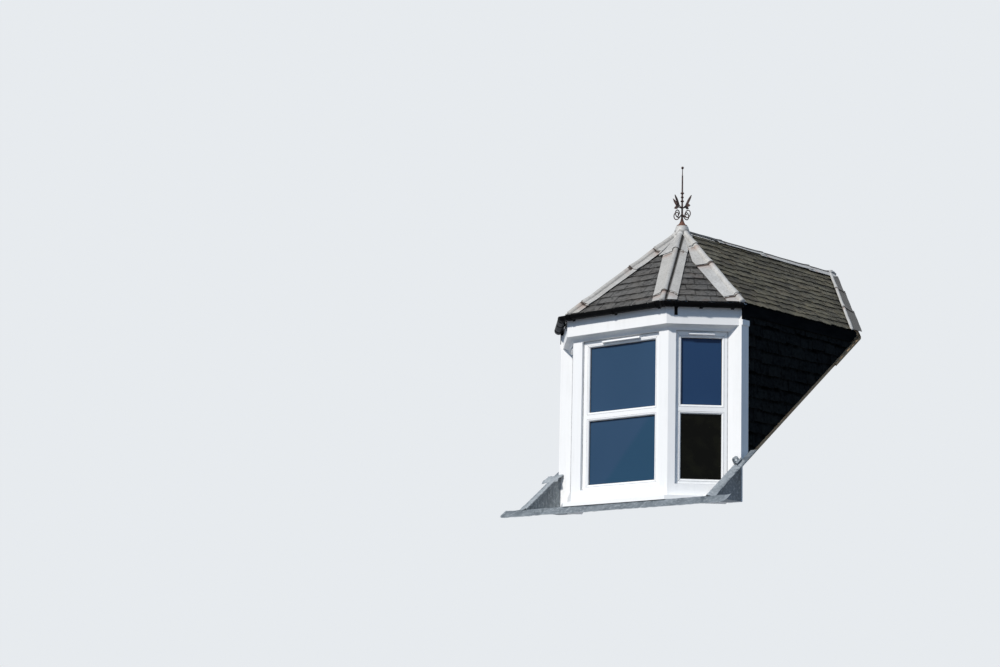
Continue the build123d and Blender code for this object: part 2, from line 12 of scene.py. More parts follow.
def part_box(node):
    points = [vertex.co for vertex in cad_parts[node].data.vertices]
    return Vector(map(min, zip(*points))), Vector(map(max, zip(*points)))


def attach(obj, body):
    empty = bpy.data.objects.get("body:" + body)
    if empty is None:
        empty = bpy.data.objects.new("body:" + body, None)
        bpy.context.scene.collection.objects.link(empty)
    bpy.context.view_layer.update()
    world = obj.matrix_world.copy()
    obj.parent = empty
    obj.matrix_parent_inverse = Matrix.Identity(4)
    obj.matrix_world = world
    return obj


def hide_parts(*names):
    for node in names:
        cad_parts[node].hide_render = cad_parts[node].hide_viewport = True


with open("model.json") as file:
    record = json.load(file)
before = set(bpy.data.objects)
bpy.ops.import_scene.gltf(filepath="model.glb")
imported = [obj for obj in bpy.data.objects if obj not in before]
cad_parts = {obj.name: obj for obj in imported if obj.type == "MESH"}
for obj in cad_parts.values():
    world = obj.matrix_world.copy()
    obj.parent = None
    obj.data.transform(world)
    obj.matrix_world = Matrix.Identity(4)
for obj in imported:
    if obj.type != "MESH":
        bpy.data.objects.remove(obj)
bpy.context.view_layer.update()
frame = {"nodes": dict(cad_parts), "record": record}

# View: the camera stands low, to the right of the bay, and looks up at its front corner.
# The floor is plain and pale; one soft lamp stands for the sun and the world fills the shade.
CAMERA_PLACE = Vector((12.3721, -14.5966, -2.1306))
CAMERA_AZIMUTH = math.radians(43.4459)
CAMERA_ELEVATION = math.radians(-10.4404)
CAMERA_ROLL = math.radians(1.3499)
SENSOR = 36.0
FOCAL_IN_PIXELS = 2306.4
PICTURE_WIDTH = 1000.0
FAR_CLIP = 200.0

back = Vector((math.sin(CAMERA_AZIMUTH) * math.cos(CAMERA_ELEVATION),
               -math.cos(CAMERA_AZIMUTH) * math.cos(CAMERA_ELEVATION),
               math.sin(CAMERA_ELEVATION)))
level = Vector((math.cos(CAMERA_AZIMUTH), math.sin(CAMERA_AZIMUTH), 0.0))
upright = back.cross(level)
right = math.cos(CAMERA_ROLL) * level + math.sin(CAMERA_ROLL) * upright
above = math.cos(CAMERA_ROLL) * upright - math.sin(CAMERA_ROLL) * level
lens = bpy.data.cameras.new("camera")
lens.sensor_width = SENSOR
lens.lens = FOCAL_IN_PIXELS / PICTURE_WIDTH * SENSOR
lens.clip_end = FAR_CLIP
camera = bpy.data.objects.new("camera", lens)
turn = Matrix((right, above, back)).transposed().to_4x4()
camera.matrix_world = Matrix.Translation(CAMERA_PLACE) @ turn
bpy.context.scene.collection.objects.link(camera)
bpy.context.scene.camera = camera
bpy.context.scene.view_settings.view_transform = "Standard"

SUN_SIDE = math.radians(1.0)
SUN_HEIGHT = math.radians(40.5)
SUN_WIDTH = math.radians(4.0)
SUN_ENERGY = 3.85
SUN_COLOUR = (1.0, 0.955, 0.90)
sun = bpy.data.lights.new("sun", "SUN")
sun.energy = SUN_ENERGY
sun.angle = SUN_WIDTH
sun.color = SUN_COLOUR
lamp = bpy.data.objects.new("sun", sun)
towards = Vector((-math.sin(SUN_SIDE) * math.cos(SUN_HEIGHT),
                  -math.cos(SUN_SIDE) * math.cos(SUN_HEIGHT), math.sin(SUN_HEIGHT)))
lamp.rotation_euler = towards.to_track_quat("Z", "Y").to_euler()
bpy.context.scene.collection.objects.link(lamp)


def seen(tree):
    """1 for rays from the eye, straight or by way of gloss or glass, and 0 for light that fills the shade."""
    path = tree.nodes.new("ShaderNodeLightPath")
    most = path.outputs["Is Camera Ray"]
    for other in ("Is Glossy Ray", "Is Transmission Ray"):
        larger = tree.nodes.new("ShaderNodeMath")
        larger.operation = "MAXIMUM"
        tree.links.new(most, larger.inputs[0])
        tree.links.new(path.outputs[other], larger.inputs[1])
        most = larger.outputs["Value"]
    return most


FILL_COLOUR = (0.26, 0.50, 0.87, 1.0)
FILL_STRENGTH = 0.43
BACKDROP_COLOUR = (0.80, 0.83, 0.86, 1.0)
world = bpy.data.worlds.new("soft_fill")
bpy.context.scene.world = world
world.use_nodes = True
shade_tree = world.node_tree
fill = shade_tree.nodes["Background"]
fill.inputs["Color"].default_value = FILL_COLOUR
fill.inputs["Strength"].default_value = FILL_STRENGTH
pale = shade_tree.nodes.new("ShaderNodeBackground")
pale.inputs["Color"].default_value = BACKDROP_COLOUR
choose = shade_tree.nodes.new("ShaderNodeMixShader")
shade_tree.links.new(seen(shade_tree), choose.inputs["Fac"])
shade_tree.links.new(fill.outputs["Background"], choose.inputs[1])
shade_tree.links.new(pale.outputs["Background"], choose.inputs[2])
shade_tree.links.new(choose.outputs["Shader"], shade_tree.nodes["World Output"].inputs["Surface"])


class Finish:
    """A procedural material, built up node by node on the piece's Object coordinates."""

    def __init__(self, name, roughness, metallic=0.0):
        self.material = bpy.data.materials.new(name)
        self.material.use_nodes = True
        self.tree = self.material.node_tree
        self.surface = self.tree.nodes["Principled BSDF"]
        self.surface.inputs["Roughness"].default_value = roughness
        self.surface.inputs["Metallic"].default_value = metallic
        self.place = self.tree.nodes.new("ShaderNodeTexCoord").outputs["Object"]

    def node(self, kind, links=(), **settings):
        """A node of that kind with its settings, fed by (input, socket or value) pairs."""
        node = self.tree.nodes.new("ShaderNode" + kind)
        for key, value in settings.items():
            setattr(node, key, value)
        for key, value in links:
            if isinstance(value, bpy.types.NodeSocket):
                self.tree.links.new(value, node.inputs[key])
            else:
                node.inputs[key].default_value = value
        return node

    def stretched(self, scale):
        """The piece's coordinates, scaled axis by axis."""
        return self.node("Mapping", [("Vector", self.place), ("Scale", scale)]).outputs["Vector"]

    def noise(self, scale, detail=4.0, rough=0.55, source=None, distortion=0.0):
        """Cloudy pattern from 0 to 1."""
        links = [("Vector", source or self.place), ("Scale", scale), ("Detail", detail),
                 ("Roughness", rough), ("Distortion", distortion)]
        return self.node("TexNoise", links).outputs["Fac"]

    def band(self, value, low, high, start=0.0, end=1.0):
        """Value mapped from low..high to start..end and held at the ends."""
        links = [("Value", value), ("From Min", low), ("From Max", high), ("To Min", start), ("To Max", end)]
        return self.node("MapRange", links, clamp=True).outputs["Result"]

    def blend(self, amount, first, second):
        """Two colours mixed by an amount."""
        node = self.node("Mix", [("Factor", amount)], data_type="RGBA")
        for key, value in ((6, first), (7, second)):
            if isinstance(value, bpy.types.NodeSocket):
                self.tree.links.new(value, node.inputs[key])
            else:
                node.inputs[key].default_value = (*value, 1.0)
        return node.outputs[2]

    def product(self, first, second, how="MULTIPLY"):
        """Two values multiplied, or put together in another way."""
        return self.node("Math", [(0, first), (1, second)], operation=how).outputs["Value"]

    def attribute(self, name):
        """A value stored on the piece."""
        return self.node("Attribute", attribute_name=name).outputs["Fac"]

    def colour(self, socket):
        """The surface takes its colour from a socket."""
        self.tree.links.new(socket, self.surface.inputs["Base Color"])

    def roughness(self, socket):
        """The surface takes its roughness from a socket."""
        self.tree.links.new(socket, self.surface.inputs["Roughness"])

    def relief(self, height, depth, strength=1.0):
        """Bump of a real depth in metres."""
        links = [("Height", height), ("Distance", depth), ("Strength", strength)]
        self.tree.links.new(self.node("Bump", links).outputs["Normal"], self.surface.inputs["Normal"])


FLOOR_SIZE = 120.0
FLOOR_MIDDLE = (0.0, 1.5, -3.05)
FLOOR_PALE, FLOOR_PALER = (0.74, 0.75, 0.76), (0.78, 0.79, 0.80)
FLOOR_BOUNCE = (0.12, 0.12, 0.12)
floor_finish = Finish("pale_floor", 0.9)
floor_shade = floor_finish.blend(floor_finish.noise(0.6), FLOOR_PALE, FLOOR_PALER)
floor_finish.colour(floor_finish.blend(seen(floor_finish.tree), FLOOR_BOUNCE, floor_shade))
bpy.ops.mesh.primitive_plane_add(size=FLOOR_SIZE, location=FLOOR_MIDDLE)
floor = bpy.context.object
floor.name = "floor"
floor.data.materials.append(floor_finish.material)


def finish_node(name, finish):
    """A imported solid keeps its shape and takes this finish."""
    solid = frame["nodes"][name]
    solid.data.materials.clear()
    solid.data.materials.append(finish.material)


# Timber: sole plates, cheek walls, roof deck and valley boards. Sawn softwood, nailed together and
# seen only from inside and behind.
TIMBER_DARK, TIMBER_LIGHT, TIMBER_LINE = (0.30, 0.19, 0.10), (0.50, 0.36, 0.21), (0.20, 0.13, 0.08)
timber = Finish("sawn_timber", 0.78)
grain = timber.noise(9.0, 8.0, 0.62, timber.stretched((1.0, 0.08, 1.0)), 0.6)
rings = timber.noise(60.0, 3.0, 0.5, timber.stretched((1.0, 0.05, 1.0)))
timber_shade = timber.blend(timber.band(grain, 0.3, 0.7), TIMBER_DARK, TIMBER_LIGHT)
timber.colour(timber.blend(timber.band(rings, 0.35, 0.65, 0.0, 0.35), timber_shade, TIMBER_LINE))
timber.relief(rings, 0.0012)
for name in ("front_sole_plate", "side_sole_plates", "cheek_walls", "front_deck", "splay_deck_left",
             "splay_deck_right", "side_deck_left", "side_deck_right", "valley_boards"):
    finish_node(name, timber)

# White boards: base walls, corner and end posts, heads, cove and fascias are faced with smooth white
# boards, pinned and sealed, a little greyer where rain and the gutter have marked them.
BOARD_WHITE, BOARD_DIRT = (0.86, 0.87, 0.87), (0.55, 0.56, 0.54)
boards = Finish("white_boards", 0.38)
streaks = boards.noise(1.0, 6.0, 0.6, boards.stretched((26.0, 26.0, 1.6)))
clouds = boards.noise(3.2, 5.0, 0.6)
dirt = boards.product(boards.band(streaks, 0.45, 0.8), boards.band(clouds, 0.4, 0.75))
boards.colour(boards.blend(boards.product(dirt, 0.5), BOARD_WHITE, BOARD_DIRT))
boards.roughness(boards.band(clouds, 0.3, 0.8, 0.32, 0.5))
boards.relief(boards.noise(180.0, 3.0, 0.5), 0.0002, 0.6)
for name in ("front_base_wall", "splay_base_walls", "corner_post_left", "corner_post_right", "end_post_left",
             "end_post_right", "front_head", "splay_heads", "front_fascia", "splay_fascias"):
    finish_node(name, boards)

# Window frames, sills and vents: welded white plastic sections with a soft sheen, screwed into the
# opening between the posts.
PLASTIC_WHITE, PLASTIC_DULL = (0.90, 0.91, 0.91), (0.72, 0.73, 0.72)
plastic = Finish("window_plastic", 0.26)
haze = plastic.noise(5.0, 5.0, 0.6)
plastic.colour(plastic.blend(plastic.band(haze, 0.45, 0.85, 0.0, 0.35), PLASTIC_WHITE, PLASTIC_DULL))
plastic.roughness(plastic.band(haze, 0.3, 0.8, 0.22, 0.36))
plastic.relief(plastic.noise(240.0, 2.0, 0.5), 0.0001, 0.5)
for name in ("front_window", "splay_window_left", "splay_window_right", "front_sill", "splay_sills"):
    finish_node(name, plastic)

SHARP_ANGLE = math.radians(38.0)


def new_piece(name, points, faces, finish, slot, smooth=False):
    """A mesh object on the root body from an array of points and an array of faces."""
    mesh = bpy.data.meshes.new(name)
    mesh.from_pydata(np.asarray(points).reshape(-1, 3).tolist(), [], np.asarray(faces).tolist())
    mesh.polygons.foreach_set("use_smooth", np.full(len(mesh.polygons), smooth))
    if smooth:
        mesh.set_sharp_from_angle(angle=SHARP_ANGLE)
    mesh.materials.append(finish.material)
    made = bpy.data.objects.new(name, mesh)
    bpy.context.scene.collection.objects.link(made)
    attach(made, "root")
    return made


def grid_faces(rows, columns, wrap=False):
    """Quads of a grid of points, row by row; wrap joins the last column to the first."""
    across = np.arange(columns if wrap else columns - 1)
    down = np.arange(rows - 1)[:, None]
    first = down * columns + across
    second = down * columns + (across + 1) % columns
    return np.stack([first, second, second + columns, first + columns], -1).reshape(-1, 4)


def shell_faces(rows, columns):
    """Quads of a closed sheet: an upper grid, a lower grid after it, and the four edges."""
    count = rows * columns
    upper = grid_faces(rows, columns)
    lower = upper[:, ::-1] + count
    index = np.arange(count).reshape(rows, columns)
    rim = np.concatenate([index[0, :], index[1:, -1], index[-1, -2::-1], index[-2:0:-1, 0]])
    after = np.roll(rim, -1)
    edges = np.stack([after, rim, rim + count, after + count], -1)
    return np.concatenate([upper, lower, edges])


def face_outwards(made):
    """Normals of a closed mesh are made to point outwards."""
    work = bmesh.new()
    work.from_mesh(made.data)
    bmesh.ops.recalc_face_normals(work, faces=work.faces[:])
    work.to_mesh(made.data)
    work.free()


def bricks(low, high):
    """Points and quads of boxes between two arrays of opposite corners."""
    low, high = np.atleast_2d(low), np.atleast_2d(high)
    pick = np.array([[0, 0, 0], [1, 0, 0], [1, 1, 0], [0, 1, 0],
                     [0, 0, 1], [1, 0, 1], [1, 1, 1], [0, 1, 1]])
    points = low[:, None, :] * (1 - pick) + high[:, None, :] * pick
    quads = np.array([[0, 3, 2, 1], [4, 5, 6, 7], [0, 1, 5, 4], [1, 2, 6, 5], [2, 3, 7, 6], [3, 0, 4, 7]])
    return points, (np.arange(len(low))[:, None, None] * 8 + quads).reshape(-1, 4)


def joined(parts):
    """Several arrays of points and quads as one."""
    shift = np.cumsum([0] + [len(points.reshape(-1, 3)) for points, _ in parts[:-1]])
    points = np.concatenate([points.reshape(-1, 3) for points, _ in parts])
    return points, np.concatenate([faces + move for (_, faces), move in zip(parts, shift)])


# Cove: a moulding that curves out from the posts to the foot of the fascia, in three lengths mitred at
# the corners, pinned to the boards and painted with them.
SPLAY = math.radians(45.0)
COVE_QUIRK = 0.004
COVE_FILLET = 0.006
COVE_START = 0.0005
COVE_OVER_WINDOW = 0.002
wall_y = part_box("front_base_wall")[0][1]
mould_low, mould_high = (np.array(c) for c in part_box("front_bed_mould"))
cove_out = wall_y - mould_low[1]
cove_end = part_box("splay_bed_moulds")[1][1]
corner_x = mould_high[0] - cove_out * math.tan(SPLAY / 2)
cove_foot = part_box("front_window")[1][2] + COVE_OVER_WINDOW


def bay_line(out):
    """Plan points of the bay's face moved outward: right end, right corner, left corner, left end."""
    corner = np.stack([corner_x + out * math.tan(SPLAY / 2), wall_y - out])
    run = (cove_end - wall_y + out * math.cos(SPLAY)) / math.sin(SPLAY)
    end = np.stack([corner_x + run * math.cos(SPLAY) + out * math.sin(SPLAY), cove_end + 0 * out])
    flip = np.array([[-1.0], [1.0]])
    return np.stack([end, corner, corner * flip, end * flip])


def mitred_strip(profile, back_out):
    """Grid of an (outward, z) profile carried round the bay, with a second grid for its back."""
    out, z = profile.T
    front, rear = bay_line(out), bay_line(np.full(len(out), back_out))
    layers = [np.stack([plan[:, 0], plan[:, 1], np.broadcast_to(z, plan[:, 0].shape)], -1)
              for plan in (front, rear)]
    return np.stack(layers), shell_faces(4, len(out))


sweep_angle = np.linspace(0, math.pi / 2, 13)
cove_reach = cove_out - COVE_QUIRK
cove_rise = mould_high[2] - COVE_FILLET - cove_foot
cove_curve = np.stack([COVE_QUIRK + cove_reach * (1 - np.cos(sweep_angle)),
                       cove_foot + cove_rise * np.sin(sweep_angle)], -1)
cove_profile = np.concatenate([[[COVE_START, cove_foot]], cove_curve, [[cove_out, mould_high[2]]]])
made = new_piece("cove", *mitred_strip(cove_profile, 0.0), boards, "white_board", True)
face_outwards(made)
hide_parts("front_bed_mould", "splay_bed_moulds")

# Joints of the windows: a black gasket round each pane, the bead's joint outside it with mitred
# corners, and a line of sealant where each frame meets its casings. All lie within a millimetre or two.
# The grey of the bead's joints and mitres is painted shade of the narrow gaps there. The grey of the
# sealant line is partly the sealant and partly painted shade of the gap at the frame's edge.
RUBBER_DARK, RUBBER_WORN = (0.018, 0.018, 0.019), (0.05, 0.05, 0.048)
SEALANT_CLEAN, SEALANT_DIRTY = (0.46, 0.47, 0.48), (0.24, 0.24, 0.235)
FRAME_DEPTH = 0.070
GLASS_REBATE = 0.010
PANE_SET_BACK = 0.023
GASKET, GASKET_LEVELS = 0.004, (-0.001, 0.004)
BEAD = 0.019
JOINT, JOINT_LEVELS = 0.0025, (-0.001, 0.0006)
WELD_LEVELS = (-0.0006, 0.0006)
SEALANT, SEALANT_LEVELS = 0.004, (0.0, 0.003)
FRONT_STILE = 0.062
SPLAY_STILE = 0.048
rubber = Finish("black_gasket", 0.7)
rubber.colour(rubber.blend(rubber.noise(120.0, 3.0), RUBBER_DARK, RUBBER_WORN))
# Grey strips: painted shade of the narrow gaps at beads and mitres, and sealant with painted shade at the
# frame's edge.
sealant_and_gap_shade = Finish("aged_sealant_and_gap_shade", 0.6)
sealant_and_gap_shade.colour(sealant_and_gap_shade.blend(sealant_and_gap_shade.band(sealant_and_gap_shade.noise(30.0, 4.0), 0.35, 0.7), SEALANT_CLEAN, SEALANT_DIRTY))


def node_points(name):
    """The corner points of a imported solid, in metres."""
    solid = frame["nodes"][name]
    return np.array([solid.matrix_world @ corner.co for corner in solid.data.vertices])


def ring(x0, z0, x1, z1, width, near, far):
    """Four bars inside a rectangle, between two distances out from the frame's face."""
    low = [[x0, near, z0], [x1 - width, near, z0], [x0 + width, near, z0], [x0 + width, near, z1 - width]]
    high = [[x0 + width, far, z1], [x1, far, z1], [x1 - width, far, z0 + width], [x1 - width, far, z1]]
    return bricks(np.array(low), np.array(high))


def weld(corner, inner):
    """A thin bar across the frame's face from an outer corner to the corner of a light."""
    run, rise = inner[0] - corner[0], inner[1] - corner[1]
    low = np.array([corner[0] - JOINT / 2, WELD_LEVELS[0], min(corner[1], inner[1])])
    points, faces = bricks(low, low + [JOINT, WELD_LEVELS[1] - WELD_LEVELS[0], abs(rise)])
    points[..., 0] += (points[..., 2] - corner[1]) * run / rise
    return points, faces


pane_levels = np.unique(np.round(node_points("front_glass")[:, 2], 4))
frame_low, frame_high = (np.array(c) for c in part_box("front_window"))
splay_low, splay_high = (np.array(c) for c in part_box("splay_window_right"))
front_width = frame_high[0] - frame_low[0]
splay_width = (splay_high[0] - splay_low[0]) / math.cos(SPLAY) - FRAME_DEPTH
splay_corner = np.array([splay_low[0] + FRAME_DEPTH * math.sin(SPLAY), splay_low[1], splay_low[2]])
splay_along = np.array([math.cos(SPLAY), math.sin(SPLAY), 0.0])
splay_out = np.array([math.sin(SPLAY), -math.cos(SPLAY), 0.0])
window_height = frame_high[2] - frame_low[2]
lights = [(pane_levels[0] + GLASS_REBATE - frame_low[2], pane_levels[1] - GLASS_REBATE - frame_low[2]),
          (pane_levels[2] + GLASS_REBATE - frame_low[2], pane_levels[3] - GLASS_REBATE - frame_low[2])]

# Trickle vents: slim white hoods clipped to the head of each frame, which let a little air through.
# Each is moulded in one, with a rounded brow that draws in at its ends.
FRONT_VENT, SPLAY_VENT = 0.413, 0.220
VENT_HEIGHT = 0.018
VENT_DEPTH = 0.027
VENT_DROP = 0.003
VENT_END = 0.010
VENT_BACK = -0.0005
vent_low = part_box("trickle_vents")[1][2] - frame_low[2] - VENT_HEIGHT - VENT_DROP
hoods = []


def hood(length):
    """Closed hood on the frame's face: a profile of the brow carried along the vent, its depth scaled
    down toward both ends, and a flat grid behind it."""
    profile = np.array([[0.0, 0.0], [0.80, 0.0], [0.96, 0.08], [1.0, 0.30], [0.97, 0.55], [0.80, 0.82],
                        [0.45, 1.0], [0.0, 1.0]]) * [VENT_DEPTH, VENT_HEIGHT]
    drawn = np.array([0.55, 0.86, 0.98, 1.0, 1.0, 0.98, 0.86, 0.55])[:, None]
    place = np.array([0.0, 0.15, 0.6, 1.0])
    place = np.concatenate([place * VENT_END, length - place[::-1] * VENT_END])[:, None]
    x, height = np.broadcast_arrays(place, profile[:, 1])
    back_height = np.broadcast_to(np.linspace(0, VENT_HEIGHT, len(profile)), x.shape)
    outer = np.stack([x, profile[:, 0] * drawn, height], -1)
    back = np.stack([x, np.full(x.shape, VENT_BACK), back_height], -1)
    return np.stack([outer, back]), shell_faces(*x.shape)


straight, ahead = np.array([1.0, 0, 0]), np.array([0, -1.0, 0])
for place, corner, along, out, width, stile, vent, flip in (
        ("front", frame_low, straight, ahead, front_width, FRONT_STILE, FRONT_VENT, 1),
        ("splay_right", splay_corner, splay_along, splay_out, splay_width, SPLAY_STILE, SPLAY_VENT, 1),
        ("splay_left", splay_corner, splay_along, splay_out, splay_width, SPLAY_STILE, SPLAY_VENT, -1)):
    axes = np.stack([along, out, [0, 0, 1.0]]) * [flip, 1, 1]
    start = corner * [flip, 1, 1] if place != "front" else corner
    gaskets, joints = [], [ring(0, 0, width, window_height, SEALANT, *SEALANT_LEVELS)]
    for low, high in lights:
        gaskets.append(ring(stile, low, width - stile, high, GASKET, -PANE_SET_BACK + GASKET_LEVELS[0],
                            -PANE_SET_BACK + GASKET_LEVELS[1]))
        joints.append(ring(stile - BEAD, low - BEAD, width - stile + BEAD, high + BEAD, JOINT, *JOINT_LEVELS))
    for x, inner_x in ((0.0, stile), (width, width - stile)):
        joints.append(weld((x, 0.0), (inner_x, lights[0][0])))
        joints.append(weld((x, window_height), (inner_x, lights[1][1])))
    points, faces = hood(vent)
    hoods.append((start + (points + [(width - vent) / 2, 0, vent_low]) @ axes, faces))
    for kind, parts, finish in (("gaskets_", gaskets, rubber), ("joints_", joints, sealant_and_gap_shade)):
        points, faces = joined(parts)
        made = new_piece(kind + place, start + points @ axes, faces, finish, "black_pvc")
        face_outwards(made)
made = new_piece("vent_hoods", *joined(hoods), plastic, "upvc", True)
face_outwards(made)
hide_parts("trickle_vents")

# Panes: sealed double units. Their colour is painted: dark for the shade of the unlit room behind,
# and blue for a painted reflection of the sky. The lower splayed panes are painted nearly black, and a
# darker band runs slantwise across the lower front pane.
PANE_EDGE = 0.45
TRANSOM_Z = 0.72
EDGE_BLUR = 0.01
SLANT_SLOPE, SLANT_EDGE = 0.9, (-0.36, -0.30)
FRONT_PANE, FRONT_PANE_LIT, SLANT_SHADE = (0.024, 0.060, 0.115), (0.031, 0.070, 0.134), (0.012, 0.058, 0.105)
LOW_PANE, LOW_PANE_LIT = (0.0012, 0.0014, 0.0006), (0.006, 0.0065, 0.003)
HIGH_PANE, HIGH_PANE_LIT = (0.015, 0.044, 0.108), (0.021, 0.057, 0.135)
panes = Finish("window_glass", 0.04)
panes.surface.inputs["Specular IOR Level"].default_value = 0.08
panes.surface.inputs["IOR"].default_value = 1.5
spot = panes.node("SeparateXYZ", [("Vector", panes.place)])
from_middle = panes.product(spot.outputs["X"], 1.0, "ABSOLUTE")
on_splay = panes.band(from_middle, PANE_EDGE, PANE_EDGE + EDGE_BLUR)
below = panes.band(spot.outputs["Z"], TRANSOM_Z + EDGE_BLUR, TRANSOM_Z)
depth = panes.noise(1.3, 2.0, 0.4, panes.stretched((1.0, 1.0, 0.7)))
slant = panes.product(spot.outputs["X"], panes.product(spot.outputs["Z"], SLANT_SLOPE), "SUBTRACT")
# A darker band runs slantwise across the lower front pane.
slant_band = panes.product(panes.band(slant, *SLANT_EDGE), below)
# Painted shade of the unlit room and a painted reflection of the sky, cloudy across each pane.
front_tone = panes.blend(panes.band(depth, 0.3, 0.7), FRONT_PANE, FRONT_PANE_LIT)
front_tone = panes.blend(panes.product(slant_band, 0.5), front_tone, SLANT_SHADE)
low_tone = panes.blend(panes.band(panes.noise(7.0, 4.0), 0.5, 0.75), LOW_PANE, LOW_PANE_LIT)
high_tone = panes.blend(panes.band(depth, 0.3, 0.7), HIGH_PANE, HIGH_PANE_LIT)
panes.colour(panes.blend(on_splay, front_tone, panes.blend(below, high_tone, low_tone)))
panes.relief(panes.noise(2.5, 1.0, 0.3), 0.0006, 0.3)
for name in ("front_glass", "splay_glass"):
    finish_node(name, panes)

# Gutter: black half-round plastic channels along the front and both splays, dulled by weather. They
# lie in straps that are screwed to the fascias.
GUTTER_CLEAN, GUTTER_DULL = (0.0022, 0.0022, 0.0026), (0.012, 0.012, 0.0115)
gutter_black = Finish("gutter_black", 0.42)
bloom = gutter_black.noise(7.0, 5.0, 0.65)
dulled = gutter_black.band(bloom, 0.45, 0.8, 0.0, 0.6)
gutter_black.colour(gutter_black.blend(dulled, GUTTER_CLEAN, GUTTER_DULL))
gutter_black.surface.inputs["Specular IOR Level"].default_value = 0.03
gutter_black.roughness(gutter_black.band(bloom, 0.3, 0.8, 0.34, 0.6))
gutter_black.relief(gutter_black.noise(90.0, 3.0, 0.5), 0.0003, 0.5)
for name in ("front_gutter", "splay_gutters", "gutter_brackets"):
    finish_node(name, gutter_black)

# Side fascias: black boards under the long slopes. Each turns over the end of the white fascia as a
# black block, on a white one that caps the corner board. Their near black is partly paint and partly
# painted shade, for the deep shade under the side eaves.
BLOCK_PROUD = 0.0095
BLOCK_INSET = 0.001
BLOCK_LEVELS = (-0.004, 0.041, 0.172)
# Near black with no gloss: black paint and the painted shade of the side eaves together.
BLACK_PAINT_AND_SHADE, BLACK_WORN = (0.005, 0.005, 0.0055), (0.014, 0.0135, 0.013)
black_boards_and_shade = Finish("black_boards_and_shade", 0.8)
brushed = black_boards_and_shade.noise(14.0, 5.0, 0.65, black_boards_and_shade.stretched((1.0, 0.3, 1.0)))
black_boards_and_shade.surface.inputs["Specular IOR Level"].default_value = 0.0
black_boards_and_shade.colour(black_boards_and_shade.blend(black_boards_and_shade.band(brushed, 0.35, 0.7), BLACK_PAINT_AND_SHADE, BLACK_WORN))
black_boards_and_shade.relief(brushed, 0.001)
finish_node("side_fascias", black_boards_and_shade)
fascia_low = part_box("splay_fascias")[0]
post_low, post_high = (np.array(c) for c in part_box("end_post_right"))
for side, name in ((1.0, "right"), (-1.0, "left")):
    # The black return block stands where the eaves' shade falls: paint and painted shade together.
    for kind, foot_level, head_level, finish, slot in (
            ("corner_block_", BLOCK_LEVELS[0], BLOCK_LEVELS[1], boards, "white_board"),
            ("fascia_return_", BLOCK_LEVELS[1], BLOCK_LEVELS[2], black_boards_and_shade, "black_pvc")):
        low = [post_high[0] - BLOCK_INSET, post_low[1] + BLOCK_INSET, fascia_low[2] + foot_level]
        high = [post_high[0] + BLOCK_PROUD, post_high[1] + BLOCK_INSET, fascia_low[2] + head_level]
        points, faces = bricks(low, high)
        made = new_piece(kind + name, points * [side, 1, 1], faces, finish, slot)
        face_outwards(made)

# Gutter unions: black plastic sleeves snapped over the joints by the corners, with a raised rib at
# each end.
GUTTER_RADIUS = 0.038
UNION_LENGTH = 0.052
UNION_GAP = 0.012
UNION_WALL, UNION_RIB, UNION_INSIDE = 0.0014, 0.0030, 0.0002
gutter_low, gutter_high = (np.array(c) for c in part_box("front_gutter"))
gutter_turn = np.array([gutter_high[0] - GUTTER_RADIUS * math.tan(SPLAY / 2),
                        gutter_low[1] + GUTTER_RADIUS, gutter_high[2]])


def sleeve(start, along, out):
    """Half-round sleeve under the gutter: ribs stand out at both ends of the grid."""
    place = np.array([0.0, 0.12, 0.16, 0.84, 0.88, 1.0])[:, None, None] * UNION_LENGTH
    rib = np.array([UNION_RIB, UNION_RIB, UNION_WALL, UNION_WALL, UNION_RIB, UNION_RIB])[:, None, None]
    angle = np.linspace(math.pi, 2 * math.pi, 19)[None, :, None]
    across = np.cos(angle) * out + np.sin(angle) * np.array([0, 0, 1.0])
    outer = start + place * along + (GUTTER_RADIUS + rib) * across
    inner = start + place * along + (GUTTER_RADIUS + UNION_INSIDE) * across
    return np.stack([outer, inner]), shell_faces(place.size, angle.size)


for flip, side in ((1, "right"), (-1, "left")):
    parts = []
    for along, out in ((-straight, ahead), (splay_along, splay_out)):
        parts.append(sleeve(gutter_turn + along * UNION_GAP, along, out))
    points, faces = joined(parts)
    made = new_piece("gutter_union_" + side, points * [flip, 1, 1], faces, gutter_black, "black_pvc", True)
    face_outwards(made)

# Slates: riven roofing slates, hung in courses with every joint broken by the course above. The roof
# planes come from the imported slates, and the cheeks are hung with the same slates upright.
SLATE_GAUGE = 0.102
SLATE_WIDTH = 0.178
SLATE_JOINT = 0.004
SLATE_LAYER = 0.022
COURSES_DEEP = 3
HEAD_LAP = 0.012
JOINT_WANDER = 0.16
TAIL_WANDER = 0.005
NIBBLED = (-0.0030, 0.0042)
SLATE_TILT = 0.0007
SLATE_THINNER = 0.0022
RIVEN_DEPTH = 0.0004
RIDGE_GAP = 0.012
BED_COVER = 0.057
VALLEY_SET_BACK = (0.150, 0.085)
FRONT_SEED, SPLAY_SEED, SIDE_SEED, CHEEK_SEED = 3, 7, 15, 30
front_low, front_high = (np.array(c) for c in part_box("front_slates"))
side_low, side_high = (np.array(c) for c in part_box("side_slates_right"))
mount_axis = np.array(frame["record"]["mounts"][0]["axis"])
seat_slope = mount_axis[1] / -mount_axis[2]
eave_z = front_low[2] + SLATE_LAYER
ridge_z = front_high[2]
apex = np.array([0.0, front_high[1], ridge_z])
eave_corner = np.array([front_high[0], front_low[1], eave_z])
side_corner = np.array([side_high[0], side_low[1], eave_z])
ridge_rear = np.array([0.0, side_high[1], ridge_z])
valley_high = np.array([0.0, (ridge_z - BED_COVER) / seat_slope, ridge_z])
valley_low = np.array([side_high[0], (eave_z - BED_COVER) / seat_slope, eave_z])
valley_edge_low = valley_low - [0, VALLEY_SET_BACK[0], 0]
valley_edge_high = valley_high - [0, VALLEY_SET_BACK[1], 0]


